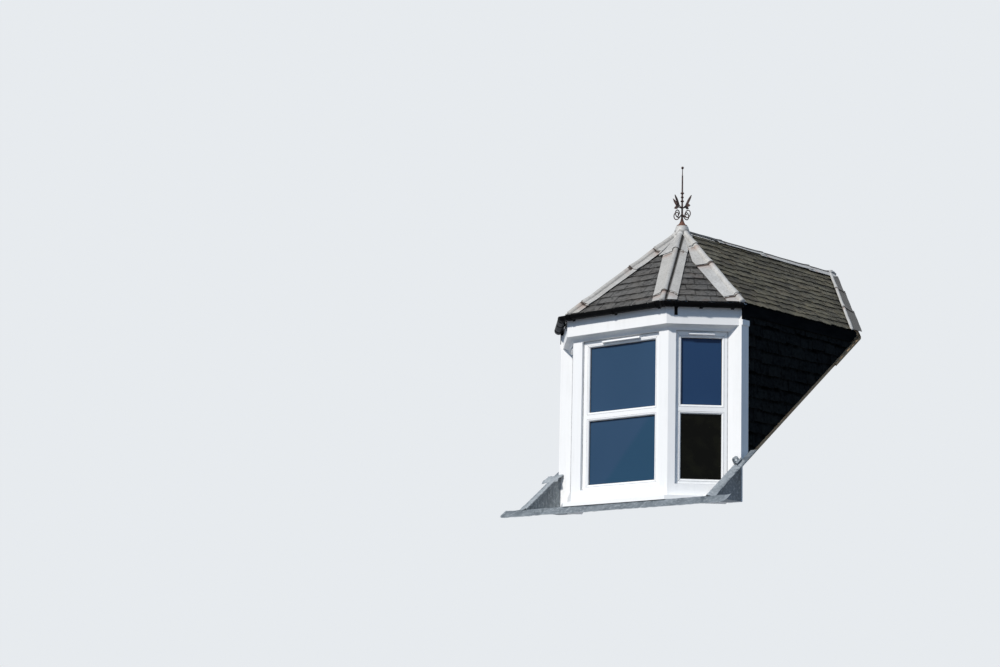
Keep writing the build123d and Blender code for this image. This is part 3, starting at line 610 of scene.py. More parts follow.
def mirrored(point):
    """The same point on the other side of the dormer."""
    return np.asarray(point) * np.array([-1.0, 1.0, 1.0])


def unit(vector):
    """The vector divided by its length."""
    return np.asarray(vector) / np.linalg.norm(vector)


def set_value(made, key, values, domain="POINT"):
    """A number for each point, or each face, of a mesh, that its material reads by name."""
    made.data.attributes.new(key, "FLOAT", domain).data.foreach_set("value", values)


def trim(made, cuts):
    """Closed slates cut off by planes, each a point and a direction to cut away, and closed again."""
    work = bmesh.new()
    work.from_mesh(made.data)
    for point, direction in cuts:
        everything = work.verts[:] + work.edges[:] + work.faces[:]
        cut = bmesh.ops.bisect_plane(work, geom=everything, dist=1e-6, plane_co=Vector(point),
                                     plane_no=Vector(direction), clear_outer=True)
        open_edges = [e for e in cut["geom_cut"] if isinstance(e, bmesh.types.BMEdge) and e.is_boundary]
        bmesh.ops.holes_fill(work, edges=open_edges, sides=0)
    bmesh.ops.recalc_face_normals(work, faces=work.faces[:])
    work.to_mesh(made.data)
    work.free()


def hang_slates(name, corner, along, outward, length, height, depth, cuts, seed, finish, ragged=1.6):
    """Slates on a plane from its lower corner. A slate's face drops by one thickness for each gauge
    up the slope, so that each course lies on the one below. Joints shift half a width a course. Each
    slate is a small grid, and its tail is uneven by ragged times a few millimetres."""
    along, outward = unit(along), unit(outward)
    up = np.cross(outward, along)
    chance = np.random.default_rng(seed)
    rows = int(math.ceil(height / SLATE_GAUGE)) + 1
    columns = int(math.ceil(length / SLATE_WIDTH)) + 3
    joint = (np.arange(columns + 1)[None, :] - 1.0 - 0.5 * (np.arange(rows)[:, None] % 2)) * SLATE_WIDTH
    joint = joint + chance.uniform(-JOINT_WANDER, JOINT_WANDER, joint.shape) * SLATE_WIDTH
    left, right_edge = joint[:, :-1] + SLATE_JOINT / 2, joint[:, 1:] - SLATE_JOINT / 2
    wander = ragged * chance.uniform(-TAIL_WANDER, TAIL_WANDER, left.shape)
    tail = np.arange(rows)[:, None] * SLATE_GAUGE + wander
    tail[0] = 0.0
    thickness = depth / COURSES_DEEP
    steps_u, steps_v = 5, 4
    u = np.linspace(0, 1, steps_u)[:, None, None, None]
    v = np.linspace(0, 1, steps_v)[None, :, None, None]
    spread_u = left + (right_edge - left) * u + 0 * v
    nibble = ragged * chance.uniform(*NIBBLED, (steps_u, 1, *left.shape)) * (v == 0)
    spread_v = tail + (2.0 * SLATE_GAUGE + HEAD_LAP) * v + nibble + 0 * u
    tilt = chance.uniform(-SLATE_TILT, SLATE_TILT, left.shape) * (u - 0.5)
    thin = chance.uniform(0.0, SLATE_THINNER, left.shape)
    face = -thickness * (spread_v - tail) / SLATE_GAUGE + tilt - SLATE_TILT - thin
    riven = chance.uniform(-RIVEN_DEPTH, RIVEN_DEPTH, face.shape) * (v > 0)
    face = np.minimum(face + riven, 0.0)
    layers = np.stack([face, face - 0.9 * thickness])
    origin = np.asarray(corner)
    points = (origin + spread_u[None, ..., None] * along + spread_v[None, ..., None] * up
              + layers[..., None] * outward)
    points = np.moveaxis(points, (3, 4), (0, 1))
    template = shell_faces(steps_u, steps_v)
    slates = rows * columns
    faces = (np.arange(slates)[:, None, None] * 2 * steps_u * steps_v + template[None]).reshape(-1, 4)
    made = new_piece(name, points, faces, finish, "slate")
    set_value(made, "tone", np.repeat(chance.uniform(0, 1, slates), len(template)), "FACE")
    up_slate = np.broadcast_to(spread_v - tail, layers.shape)
    from_edge = np.broadcast_to(SLATE_WIDTH * np.minimum(u, 1 - u), layers.shape)
    for key, values in (("up_slate", up_slate), ("from_edge", from_edge)):
        set_value(made, key, np.moveaxis(values, (3, 4), (0, 1)).ravel())
    trim(made, cuts)
    return made


def scaled(shade, *by):
    """A colour multiplied by one number, or by one for each channel."""
    return tuple(np.multiply(shade, by))


def slate_finish(name, dark, light, growth, growth_shade, gloss, joint_shade_and_grime_width=0.006, blot_depth=0.85,
                 tail_shade_and_grime=0.030, dull_slates=0.0):
    """Riven slate between two shades, one slate from the next, with as much lichen as growth.
    Darkening lies beside each joint and under each tail, as wide as the joint width argument and as deep
    as the tail argument say; it is painted shade of the slates' edges, with some grime. Blots darken the
    slates by up to blot_depth, and about a third of them are duller by dull_slates."""
    slate = Finish(name, 0.62)
    slate.surface.inputs["Specular IOR Level"].default_value = gloss
    tone = slate.attribute("tone")
    cleft = slate.noise(38.0, 7.0, 0.66, slate.place, 0.4)
    speck = slate.noise(150.0, 3.0, 0.6)
    lichen = slate.noise(11.0, 6.0, 0.7)
    moss = slate.noise(2.4, 4.0, 0.6)
    shade = slate.blend(slate.band(tone, 0.0, 1.0), dark, light)
    shade = slate.blend(slate.band(cleft, 0.40, 0.68, 0.0, 0.75), shade, scaled(light, 1.75))
    shade = slate.blend(slate.band(speck, 0.52, 0.7, 0.0, 0.5), shade, scaled(dark, 0.5))
    warm = slate.product(slate.band(slate.noise(5.0, 5.0, 0.65), 0.46, 0.62), 2.0 * growth)
    shade = slate.blend(warm, shade, scaled(light, 0.95, 0.80, 0.66))
    grown = slate.product(slate.band(lichen, 0.66 - growth, 0.82 - growth), slate.band(moss, 0.36, 0.6))
    shade = slate.blend(grown, shade, growth_shade)
    red = slate.product(slate.band(tone, 0.93, 0.95), slate.band(lichen, 0.5, 0.7))
    shade = slate.blend(red, shade, scaled(light, 1.05, 0.82, 0.74))
    broken = slate.band(slate.noise(13.0, 5.0, 0.75), 0.40, 0.56, 0.08, 1.0)
    dull = slate.product(slate.band(tone, 0.45, 0.30), dull_slates)
    shade = slate.blend(dull, shade, dark)
    blots = slate.product(slate.band(slate.noise(22.0, 4.0, 0.7), 0.54, 0.63), blot_depth)
    shade = slate.blend(blots, shade, scaled(dark, 0.5))
    # Painted shade, with some grime, under each slate's tail and beside each joint.
    under_tail = slate.band(slate.attribute("up_slate"), SLATE_GAUGE - tail_shade_and_grime, SLATE_GAUGE - 0.010)
    under_tail = slate.product(under_tail, broken)
    beside_joint = slate.band(slate.attribute("from_edge"), joint_shade_and_grime_width, 0.001)
    beside_joint = slate.product(beside_joint, slate.product(broken, 0.6))
    beside_joint = slate.product(beside_joint, slate.band(speck, 0.35, 0.6, 0.5, 1.0))
    shade_and_grime = slate.product(under_tail, beside_joint, "MAXIMUM")
    slate.colour(slate.blend(shade_and_grime, shade, scaled(dark, 0.16)))
    slate.roughness(slate.band(cleft, 0.3, 0.8, 0.5, 0.8))
    slate.relief(cleft, 0.003)
    return slate


slate = slate_finish("riven_slate", dark=(0.040, 0.039, 0.038), light=(0.090, 0.088, 0.084), growth=0.10,
                     growth_shade=(0.115, 0.11, 0.09), gloss=0.12)
mossy_slate = slate_finish("mossy_slate", dark=(0.014, 0.014, 0.0125), light=(0.096, 0.089, 0.064),
                           growth=0.22, growth_shade=(0.116, 0.106, 0.066), gloss=0.08, joint_shade_and_grime_width=0.030,
                           blot_depth=1.0, tail_shade_and_grime=0.052, dull_slates=0.30)
# Cheek slates: painted much darker than the roof's, as painted shade, for the cheeks face away from the sun
# under the eaves.
shaded_slate = slate_finish("cheek_slate_painted_shade", dark=(0.010, 0.010, 0.010), light=(0.021, 0.020, 0.018),
                            growth=0.06, growth_shade=(0.026, 0.025, 0.017), gloss=0.0)

up_splay = np.cross(side_corner - eave_corner, apex - eave_corner)
up_side = np.cross([0.0, 1.0, 0.0], apex - side_corner)
up_front = np.cross([1.0, 0.0, 0.0], apex - eave_corner)


def beside_hip(foot, inside):
    """The upright plane through a hip, facing away from the roof plane that holds the point inside."""
    across = np.cross(apex - foot, [0.0, 0.0, 1.0])
    away = across if np.dot(across, inside - foot) < 0 else -across
    return foot, unit(away)


front_middle = (eave_corner + mirrored(eave_corner)) / 2
made = hang_slates("slates_front", mirrored(eave_corner), [1, 0, 0], up_front, 2 * eave_corner[0],
                   np.linalg.norm(apex - front_middle), SLATE_LAYER * unit(up_front)[2],
                   [beside_hip(eave_corner, front_middle), beside_hip(mirrored(eave_corner), front_middle)],
                   FRONT_SEED, slate)
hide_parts("front_slates")

for side, name in ((1.0, "right"), (-1.0, "left")):
    flip = np.array([side, 1.0, 1.0])
    near, far, rear = eave_corner * flip, side_corner * flip, valley_edge_low * flip
    middle = (near + far) / 2
    splay_outward = unit(up_splay) * flip
    start, end = (near, far) if side > 0 else (far, near)
    splay_height = np.linalg.norm(np.cross(apex - near, unit(far - near)))
    made = hang_slates("slates_splay_" + name, start, end - start, splay_outward, np.linalg.norm(far - near),
                       splay_height, SLATE_LAYER * splay_outward[2],
                       [beside_hip(near, middle), beside_hip(far, middle)], SPLAY_SEED + int(side), slate)
    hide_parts("splay_slates_" + name)
    side_out = unit(up_side) * flip
    run = valley_edge_high - rear
    valley_away = unit(np.cross(run, [0.0, 0.0, 1.0]))
    valley_away = valley_away if valley_away[1] > 0 else -valley_away
    start = far if side > 0 else np.array([rear[0], valley_high[1], eave_z])
    inside = (far + rear) / 2
    side_height = np.linalg.norm([side_corner[0], ridge_z - eave_z])
    ridge_cut = ([RIDGE_GAP * side, 0, 0], [-side, 0, 0])
    made = hang_slates("slates_side_" + name, start, [0.0, side, 0.0], side_out, valley_high[1] - far[1],
                       side_height, SLATE_LAYER * side_out[2],
                       [beside_hip(far, inside), (rear, valley_away), ridge_cut],
                       SIDE_SEED + int(side), mossy_slate, ragged=3.8)
    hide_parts("side_slates_" + name)

cheek_low, cheek_high = (np.array(c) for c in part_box("cheek_slates"))
for side, name in ((1.0, "right"), (-1.0, "left")):
    face_x = cheek_high[0] * side
    foot = np.array([face_x, cheek_low[1] if side > 0 else cheek_high[1], cheek_low[2]])
    cheek_cuts = [([face_x, cheek_low[1], cheek_low[2]], unit([0.0, seat_slope, -1.0])),
                  ([face_x, cheek_low[1], 0], [0, -1, 0]), ([face_x, 0, cheek_high[2]], [0, 0, 1])]
    made = hang_slates("cheek_slates_" + name, foot, [0.0, side, 0.0], [side, 0.0, 0.0],
                       cheek_high[1] - cheek_low[1], cheek_high[2] - cheek_low[2], SLATE_LAYER,
                       cheek_cuts, CHEEK_SEED + int(side), shaded_slate)
    if side > 0:
        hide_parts("cheek_slates")

# Lead: an apron dressed down the slope under the sill, and at each side a tray whose upstand is folded
# over beside the bay. Soft sheet, beaten to shape and blue-grey. It is paler on its rolled edges, welts
# and fold crests: partly rubbed wear, partly a painted highlight where the light falls on them.
LEAD_DARK, LEAD_LIGHT, LEAD_SPOT, LEAD_RUBBED_HIGHLIGHT = ((0.060, 0.078, 0.094), (0.21, 0.24, 0.265),
                                                 (0.34, 0.38, 0.40), (0.35, 0.385, 0.41))
LEAD = 0.003
APRON_REACH = 1.221
APRON_EASE = 0.0065
APRON_CORNER, APRON_CORNER_CUT = 0.07, 0.030
WELTS, WELT_WIDTH, WELT_HEIGHT = (-0.47, 0.36), 0.007, 0.0030
EDGE_ROLL = 0.006
TRAY_Z = -0.030
TRAY_LAP = 0.008
FOLD_IN = 0.972
FOLD_OUT = (1.067, 1.045)
FOLD_RADIUS = 0.012
FOLD_LIFT = 0.012
FOLD_EDGE_LIFT = 0.0055
APRON_SEED, SILL_SEED, FOLD_SEED, FLAP_SEED = 5, 6, 12, 21
lead = Finish("dressed_lead", 0.5, 0.2)
lead.surface.inputs["Specular IOR Level"].default_value = 0.3
wash = lead.noise(5.0, 6.0, 0.62, lead.stretched((1.0, 1.0, 0.5)))
spots = lead.noise(42.0, 5.0, 0.6)
lead_shade = lead.blend(lead.band(wash, 0.32, 0.68), LEAD_DARK, LEAD_LIGHT)
lead_shade = lead.blend(lead.band(spots, 0.5, 0.68, 0.0, 0.7), lead_shade, LEAD_SPOT)
# Paler on raised rolls, welts and crests: partly rubbed wear, partly painted highlight.
rubbed_and_highlight = lead.product(lead.attribute("rubbed_and_highlight"), lead.band(spots, 0.3, 0.6, 0.45, 1.0))
lead.colour(lead.blend(rubbed_and_highlight, lead_shade, LEAD_RUBBED_HIGHLIGHT))
lead.roughness(lead.band(wash, 0.3, 0.8, 0.42, 0.65))
lead.relief(lead.noise(16.0, 4.0, 0.5), 0.004)
for name in ("corner_lead_left", "corner_lead_right"):
    finish_node(name, lead)
apron_low_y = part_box("lead_apron")[0][1]
return_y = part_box("end_post_right")[0][1]


def bed_height(y):
    """Height of the slope that the lead lies on: the seat's slope, raised by what covers it."""
    return y * seat_slope + BED_COVER


def crumple(along, across, seed, size=1.0):
    """Shallow dents of beaten sheet: seven crossed waves of different lengths, added up."""
    waves = np.random.default_rng(seed).uniform([14, 10, 0, 0.2], [95, 70, 6.3, 1.0], (7, 4))
    return 0.0008 * size * sum(w[3] * np.sin(w[0] * along + w[1] * across + w[2]) for w in waves)


def sheet_piece(name, points, rubbed_and_highlight_part):
    """Closed sheet of lead: a grid of points and a second grid one thickness under it."""
    rows, columns = points.shape[:2]
    normal = np.cross(np.gradient(points, axis=1), np.gradient(points, axis=0))
    normal = normal / np.maximum(np.linalg.norm(normal, axis=-1, keepdims=True), 1e-9)
    normal = normal * np.where(np.sum(normal[..., 2]) < 0, -1.0, 1.0)
    sheet = np.stack([points, points - LEAD * normal])
    made = new_piece(name, sheet, shell_faces(rows, columns), lead, "lead", True)
    values = np.broadcast_to(rubbed_and_highlight_part, (rows, columns)).ravel()
    set_value(made, "rubbed_and_highlight", np.tile(values, 2))
    face_outwards(made)
    return made


def grid_points(x, y, z):
    """A grid of points from three arrays that fill out each other's shape."""
    return np.stack(np.broadcast_arrays(x, y, z), -1)


x = np.linspace(-APRON_REACH, APRON_REACH, 301)[None, :]
v = np.linspace(0, 1, 13)[:, None]
from_end = np.clip((APRON_REACH - np.abs(x)) / APRON_CORNER, 0, 1)
ragged = 0.002 + 0.002 * np.sin(x * 11.3) * np.sin(x * 4.1 + 1.0)
ragged = ragged + APRON_CORNER_CUT * (1 - np.sqrt(from_end * (2 - from_end)))
tray_y = (TRAY_Z - BED_COVER) / seat_slope - TRAY_LAP
apron_y = apron_low_y + ragged * (1 - v) + (tray_y - apron_low_y) * v
welt = sum(np.exp(-((x - place) / WELT_WIDTH) ** 2) for place in WELTS)
edge_roll = np.clip(np.exp(-(v / 0.09) ** 2) + np.exp(-((APRON_REACH - np.abs(x)) / 0.012) ** 2), 0, 1)
apron_rise = np.maximum(APRON_EASE + crumple(x, apron_y, APRON_SEED), APRON_EASE - 0.002)
apron_rise = apron_rise + WELT_HEIGHT * welt + EDGE_ROLL * edge_roll
# The rolled edge and welts are painted paler: partly rubbed wear, partly painted highlight.
made = sheet_piece("apron_sheet", grid_points(x, apron_y, bed_height(apron_y) + apron_rise),
                   np.clip(0.8 * edge_roll + 0.6 * welt, 0, 1))
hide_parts("lead_apron")
x = np.linspace(-corner_x, corner_x, 81)[None, :]
y = np.linspace(tray_y, wall_y, 5)[:, None]
sheet_piece("apron_under_sill", grid_points(x, y, TRAY_Z - LEAD + 0.3 * crumple(x, y, SILL_SEED)), 0.2)

t = np.linspace(0, 1, 70)[:, None]
fold_y = tray_y - TRAY_LAP + t * (return_y - 0.002 - tray_y + TRAY_LAP)
leg = np.linspace(0, 1, 8)[None, :]
around = np.linspace(math.pi, 0.55, 8)[None, 1:]
over = np.linspace(0, 1, 9)[None, 1:]
for side, name in ((1.0, "right"), (-1.0, "left")):
    middle_x = FOLD_IN + FOLD_RADIUS
    edge_x = FOLD_OUT[0] + (FOLD_OUT[1] - FOLD_OUT[0]) * t + 0.003 * np.sin(23 * t + side)
    leaves_x = middle_x + FOLD_RADIUS * math.cos(around[0, -1])
    leaves_z = FOLD_LIFT + FOLD_RADIUS * math.sin(around[0, -1])
    fold_x = np.concatenate([FOLD_IN + 0 * leg * t, middle_x + FOLD_RADIUS * np.cos(around) + 0 * t,
                             leaves_x + (edge_x - leaves_x) * over], 1)
    foot_z = np.minimum(TRAY_Z + 0.002 - bed_height(fold_y), FOLD_LIFT - 0.002)
    fold_z = np.concatenate([foot_z + (FOLD_LIFT - foot_z) * leg,
                             FOLD_LIFT + FOLD_RADIUS * np.sin(around) + 0 * t,
                             leaves_z + (FOLD_EDGE_LIFT - leaves_z) * over ** 0.7 + 0 * t], 1)
    dents = crumple(3 * fold_y + 0 * fold_x, 2 * fold_x + fold_z, FOLD_SEED + int(side), 1.7)
    # The crest of each fold is painted paler: partly wear, partly painted highlight.
    worn_and_highlit = np.concatenate([0.15 + 0 * leg, 0.5 + 0.5 * np.sin(around), 0.8 - 0.25 * over], 1) + 0 * t
    sheet_piece("side_fold_" + name, grid_points((fold_x + 0.6 * dents) * side, fold_y,
                                                 bed_height(fold_y) + fold_z + dents), worn_and_highlit)

# Ends of the folds: on the left a flap of lead turned out beside the bay; on the right a tuck of lead
# beaten into a lump, with the open end of a curl beside it.
FLAP_START, FLAP_LENGTH, FLAP_WIDTH, FLAP_LIFT = 0.942, 0.178, 0.070, 0.024
u = np.linspace(0, 1, 24)[:, None]
v = np.linspace(0, 1, 10)[None, :]
flap_x = -(FLAP_START + FLAP_LENGTH * u + 0.008 * np.sin(6 * v))
flap_y = return_y - 0.004 - (FLAP_WIDTH + 0.006 * np.sin(8 * u)) * (1 - v)
flap_rise = FLAP_LIFT - 0.010 * u + 0.5 * EDGE_ROLL * np.sin(9 * u) - 0.012 * np.exp(-(v / 0.15) ** 2)
flap_z = bed_height(flap_y) + flap_rise + crumple(u, v, FLAP_SEED, 1.5)
# The flap's front is painted paler: partly wear, partly painted highlight.
sheet_piece("flap_left", grid_points(flap_x, flap_y, flap_z), 0.9 - 0.3 * v + 0 * u)


LUMP_RINGS, LUMP_SIDES, LUMP_POLE = 18, 32, 0.05
TUCK_SIZE, CURL_SIZE, CURL_LENGTH = (0.030, 0.024, 0.033), 0.016, 0.070


def beaten_lump(name, middle, radii, finish, slot):
    """Closed lump of sheet: an ellipsoid whose radius swells and sinks in crossed waves round it. Strips
    of quads close the two poles."""
    turn = np.linspace(0, 2 * math.pi, LUMP_SIDES + 1)[None, :-1]
    tilt = np.linspace(LUMP_POLE, math.pi - LUMP_POLE, LUMP_RINGS)[:, None]
    swell = 1 + 0.13 * np.sin(3 * turn + 2) * np.sin(2 * tilt) + 0.09 * np.sin(5 * tilt + 2 * turn)
    around = grid_points(np.sin(tilt) * np.cos(turn), np.sin(tilt) * np.sin(turn), np.cos(tilt))
    k = np.arange(LUMP_SIDES // 2 - 1)
    lid = np.stack([k, k + 1, LUMP_SIDES - 2 - k, LUMP_SIDES - 1 - k], -1)
    faces = np.concatenate([grid_faces(LUMP_RINGS, LUMP_SIDES, True), lid[:, ::-1],
                            lid + (LUMP_RINGS - 1) * LUMP_SIDES])
    made = new_piece(name, np.array(middle) + swell[..., None] * around * radii, faces, finish, slot, True)
    face_outwards(made)
    return made


tuck_middle = (0.962, return_y - 0.026, bed_height(return_y - 0.02) + 0.022)
beaten_lump("tuck_right", tuck_middle, TUCK_SIZE, lead, "lead")
turn = np.linspace(0.6, 6.3, 22)[None, :]
along_curl = np.linspace(0, 1, 8)[:, None]
curl_size = CURL_SIZE + 0.002 * np.sin(5 * along_curl) - 0.004 * (turn - 0.6) / 5.7
curl_y = return_y - 0.075 + CURL_LENGTH * along_curl
sheet_piece("curl_right", grid_points(0.999 + curl_size * np.cos(turn), curl_y,
                                      bed_height(curl_y) + 0.019 + curl_size * np.sin(turn)), 0.5)

# Hip and ridge metal: sheet dressed over a round batten with a wing on each slope, in lengths lapped
# down the roof and nailed; pale and chalky, with rust washing from the laps. A dark line under each
# lap's tail and the darkening in the folds are painted shade, mixed with dirt.
METAL_DARK, METAL_LIGHT, METAL_TONE, METAL_GRIT = ((0.37, 0.365, 0.35), (0.52, 0.515, 0.495),
                                                   (0.45, 0.435, 0.40), (0.25, 0.24, 0.225))
METAL_RUST, METAL_AT_LAP, METAL_SHADE_AND_DIRT = (0.27, 0.13, 0.075), (0.040, 0.026, 0.020), (0.018, 0.017, 0.016)
hip_metal = Finish("hip_metal", 0.6, 0.1)
chalk = hip_metal.noise(6.0, 6.0, 0.6)
grit = hip_metal.noise(60.0, 5.0, 0.65)
length_tone = hip_metal.attribute("length_tone")
below_lap = hip_metal.attribute("below_lap")
fold = hip_metal.attribute("fold")
metal_shade = hip_metal.blend(hip_metal.band(chalk, 0.3, 0.7), METAL_DARK, METAL_LIGHT)
metal_shade = hip_metal.blend(hip_metal.band(length_tone, 0.0, 1.0, 0.0, 0.5), metal_shade, METAL_TONE)
metal_shade = hip_metal.blend(hip_metal.band(grit, 0.50, 0.68, 0.0, 0.7), metal_shade, METAL_GRIT)
rust_wash = hip_metal.product(hip_metal.band(below_lap, 0.110, 0.010), hip_metal.band(chalk, 0.36, 0.62))
metal_shade = hip_metal.blend(hip_metal.product(rust_wash, 0.75), metal_shade, METAL_RUST)
# A dark line just under each lap's tail: the painted shadow of the lifted tail, with dirt.
metal_shade = hip_metal.blend(hip_metal.band(below_lap, 0.034, 0.024), metal_shade, METAL_AT_LAP)
# Darkened by the fold value: painted shade in creases and on shaded sides, with dirt.
hip_metal.colour(hip_metal.blend(fold, metal_shade, METAL_SHADE_AND_DIRT))
hip_metal.relief(grit, 0.0012)

SHEET = 0.0022
LAP = 0.070
LAP_LIFT = 0.0060
WING_LIFT = 0.0045
FRONT_WING = 0.135
SPLAY_WING = 0.088
INNER_WING = 0.145
SIDE_WING = 0.050
HIP_ROLL = 0.026
RIDGE_ROLL = 0.011
TAIL_WAVE = 0.006
TAIL_BOW = 0.012
WING_STEPS, ROLL_STEPS, HIP_ROWS, NOSE_ROWS = 8, 19, 14, 6
LEFT_STEPS, ALL_STEPS = WING_STEPS + ROLL_STEPS, 2 * WING_STEPS + ROLL_STEPS


def wing_frame(foot, head, eave, other, width):
    """A wing's directions across its slope and out of it, its width, and how far its foot and its head
    run along the hip for a step away from it."""
    along = unit(head - foot)
    eave = unit(eave)
    across = unit(eave - along * (eave @ along))
    outward = unit(np.cross(along, across))
    outward = outward if outward[2] > 0 else -outward
    half_angle = 0.5 * math.acos(unit(foot - head) @ unit(other - head))
    return across, outward, width, (eave @ along) / (eave @ across), 1.0 / math.tan(half_angle)


def dress(name, foot, head, left, right, roll, laps, seed, node, aside=(0.0, 0.0), flank_shade_and_dirt=0.0, roll_darkening=0.0,
          trough_shade=0.0, narrow=None, grey=0.0):
    """Sheet dressed over a roll with a wing on each side, in lapped lengths.

    A length is a grid. Rows run up the hip; columns run from the left wing's edge over the roll to the
    right wing's edge. Each tail lies on the length below, lifted by the lap, with a wavy edge. The roll
    stands aside from the line by a step on the left wing, which changes evenly from the foot to the head;
    narrow scales the two wings length by length, and grey darkens the whole sheet.
    """
    step_foot, step_head = aside
    shift = np.linspace(0, 1, WING_STEPS)
    shift = np.concatenate([shift, np.ones(ROLL_STEPS), -shift[::-1]])
    drift = np.concatenate([np.tile(left[0], (LEFT_STEPS, 1)), np.tile(right[0], (WING_STEPS, 1))])
    drift = shift[:, None] * drift
    along = unit(head - foot)
    length = np.linalg.norm(head - foot)
    top = unit(left[1] + right[1])
    side = unit(np.cross(along, top))
    side = side if side @ right[0] > 0 else -side
    chance = np.random.default_rng(seed)
    rim = math.asin(WING_LIFT / roll)
    first = math.atan2(left[0] @ top, left[0] @ side) % (2 * math.pi) - rim
    last = math.atan2(right[0] @ top, right[0] @ side) + rim
    turns = np.linspace(first, last, ROLL_STEPS)
    round_out = np.cos(turns)[:, None] * side + np.sin(turns)[:, None] * top
    control = np.linspace(-1, 1, 9)
    waves = chance.uniform(-TAIL_WAVE, TAIL_WAVE, (len(laps) + 1, len(control))) - TAIL_BOW * np.abs(control)
    waves = waves - 0.045 * flank_shade_and_dirt * np.maximum(control, 0)
    parts, values = [], {"below_lap": [], "fold": [], "length_tone": []}
    for step, start in enumerate(laps):
        begin = start * length
        stop = laps[step + 1] * length + LAP if step + 1 < len(laps) else length
        scales = narrow[step] if narrow else (1.0, 1.0)
        widths = [min(w[2] * scale, max(roll + 0.01, (length - begin) / w[4] - 0.006))
                  for w, scale in zip((left, right), scales)]
        far_left = np.linspace(max(widths[0], step_foot + roll * 1.2), step_foot + roll * 1.06, WING_STEPS)
        beyond = max(roll * 1.06 - step_foot, 0.002)
        far_right = np.linspace(beyond, max(widths[1], beyond + 0.004), WING_STEPS)
        away = np.concatenate([far_left, step_foot + 0 * turns, far_right])
        on_roll = np.abs(np.arange(ALL_STEPS) - ALL_STEPS // 2) <= ROLL_STEPS // 2
        lateral = np.linspace(-0.15, 0.15, ROLL_STEPS)
        lateral = np.concatenate([-far_left / left[2], lateral, far_right / right[2]])
        section = np.concatenate([far_left[:, None] * left[0] + WING_LIFT * left[1],
                                  step_foot * left[0] + roll * round_out,
                                  far_right[:, None] * right[0] + WING_LIFT * right[1]])
        normal = [np.tile(left[1], (WING_STEPS, 1)), round_out, np.tile(right[1], (WING_STEPS, 1))]
        normal = np.concatenate(normal)
        foot_skew, head_skew = (np.repeat([left[k], right[k]], [LEFT_STEPS, WING_STEPS]) for k in (3, 4))
        low = away * foot_skew if step == 0 else begin + np.interp(lateral, control, waves[step])
        closer = (step_head - step_foot) / length * shift * head_skew * ~on_roll
        high = (length - away * head_skew * ~on_roll - 0.002 - 0.012 * on_roll) / (1 + closer)
        high = np.minimum(stop, high)
        low = np.minimum(low, high - 0.004)
        rise = np.linspace(0, 1, HIP_ROWS)[:, None] ** 1.6
        up = low + (high - low) * rise
        settle = np.clip((up - low) / 0.10, 0, 1)
        lift = (LAP_LIFT if step else 0.0) * (1 - settle * settle * (3 - 2 * settle))
        phase = chance.uniform(0, 6, 3)
        swell = 0.0007 * (2 + np.sin(up * 23 + phase[0]) + np.sin(lateral * 5 + up * 11 + phase[1]))
        upper = foot + up[..., None] * along + section + (lift + swell)[..., None] * normal
        upper = upper + (step_head - step_foot) / length * up[..., None] * drift
        parts.append((np.stack([upper, upper - SHEET * normal]), shell_faces(HIP_ROWS, ALL_STEPS)))
        next_tail = (laps[step + 1] * length + np.interp(lateral, control, waves[step + 1])
                     if step + 1 < len(laps) else 9.0)
        below = np.clip(next_tail - up, 0.0, 1.0)
        below = np.where(next_tail - up < -0.002, 1.0, below)
        # Crease beside the roll and the roll's lower right flank: painted shade, with dirt.
        crease = np.exp(-np.maximum(away - beyond, 0) / 0.003) * (lateral > 0) * ~on_roll
        flank = np.zeros(ALL_STEPS)
        flank[on_roll] = np.clip((math.radians(46) - turns) / math.radians(14), 0, 1)
        shade_and_dirt_lines = np.maximum(flank_shade_and_dirt * np.maximum(crease, flank), roll_darkening * on_roll)
        shade_and_dirt_lines = np.maximum(np.maximum(shade_and_dirt_lines, trough_shade * (lateral > 0) * ~on_roll), grey)
        values["below_lap"].append(np.stack([below, below]))
        values["fold"].append(np.broadcast_to(shade_and_dirt_lines, (2, *up.shape)))
        values["length_tone"].append(np.full((2, *up.shape), chance.uniform(0, 1)))
    bulge = np.linspace(0, 1.45, NOSE_ROWS)[:, None, None]
    foot = foot + step_foot * (left[0] + left[3] * along)
    fall = 0.010 * np.sin(bulge) - 0.001
    nose = foot + roll * np.cos(bulge) * round_out - fall * along
    inside = foot + (roll - SHEET) * np.cos(bulge) * round_out - (fall - SHEET) * along
    parts.append((np.stack([nose, inside]), shell_faces(NOSE_ROWS, ROLL_STEPS)))
    for key, level in (("below_lap", 1.0), ("fold", 0.0), ("length_tone", 0.0)):
        values[key].append(np.full((2, NOSE_ROWS, ROLL_STEPS), level))
    made = new_piece(name, *joined(parts), hip_metal, "hip_metal", True)
    for key, arrays in values.items():
        set_value(made, key, np.concatenate([a.ravel() for a in arrays]))
    face_outwards(made)
    if node:
        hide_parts(node)


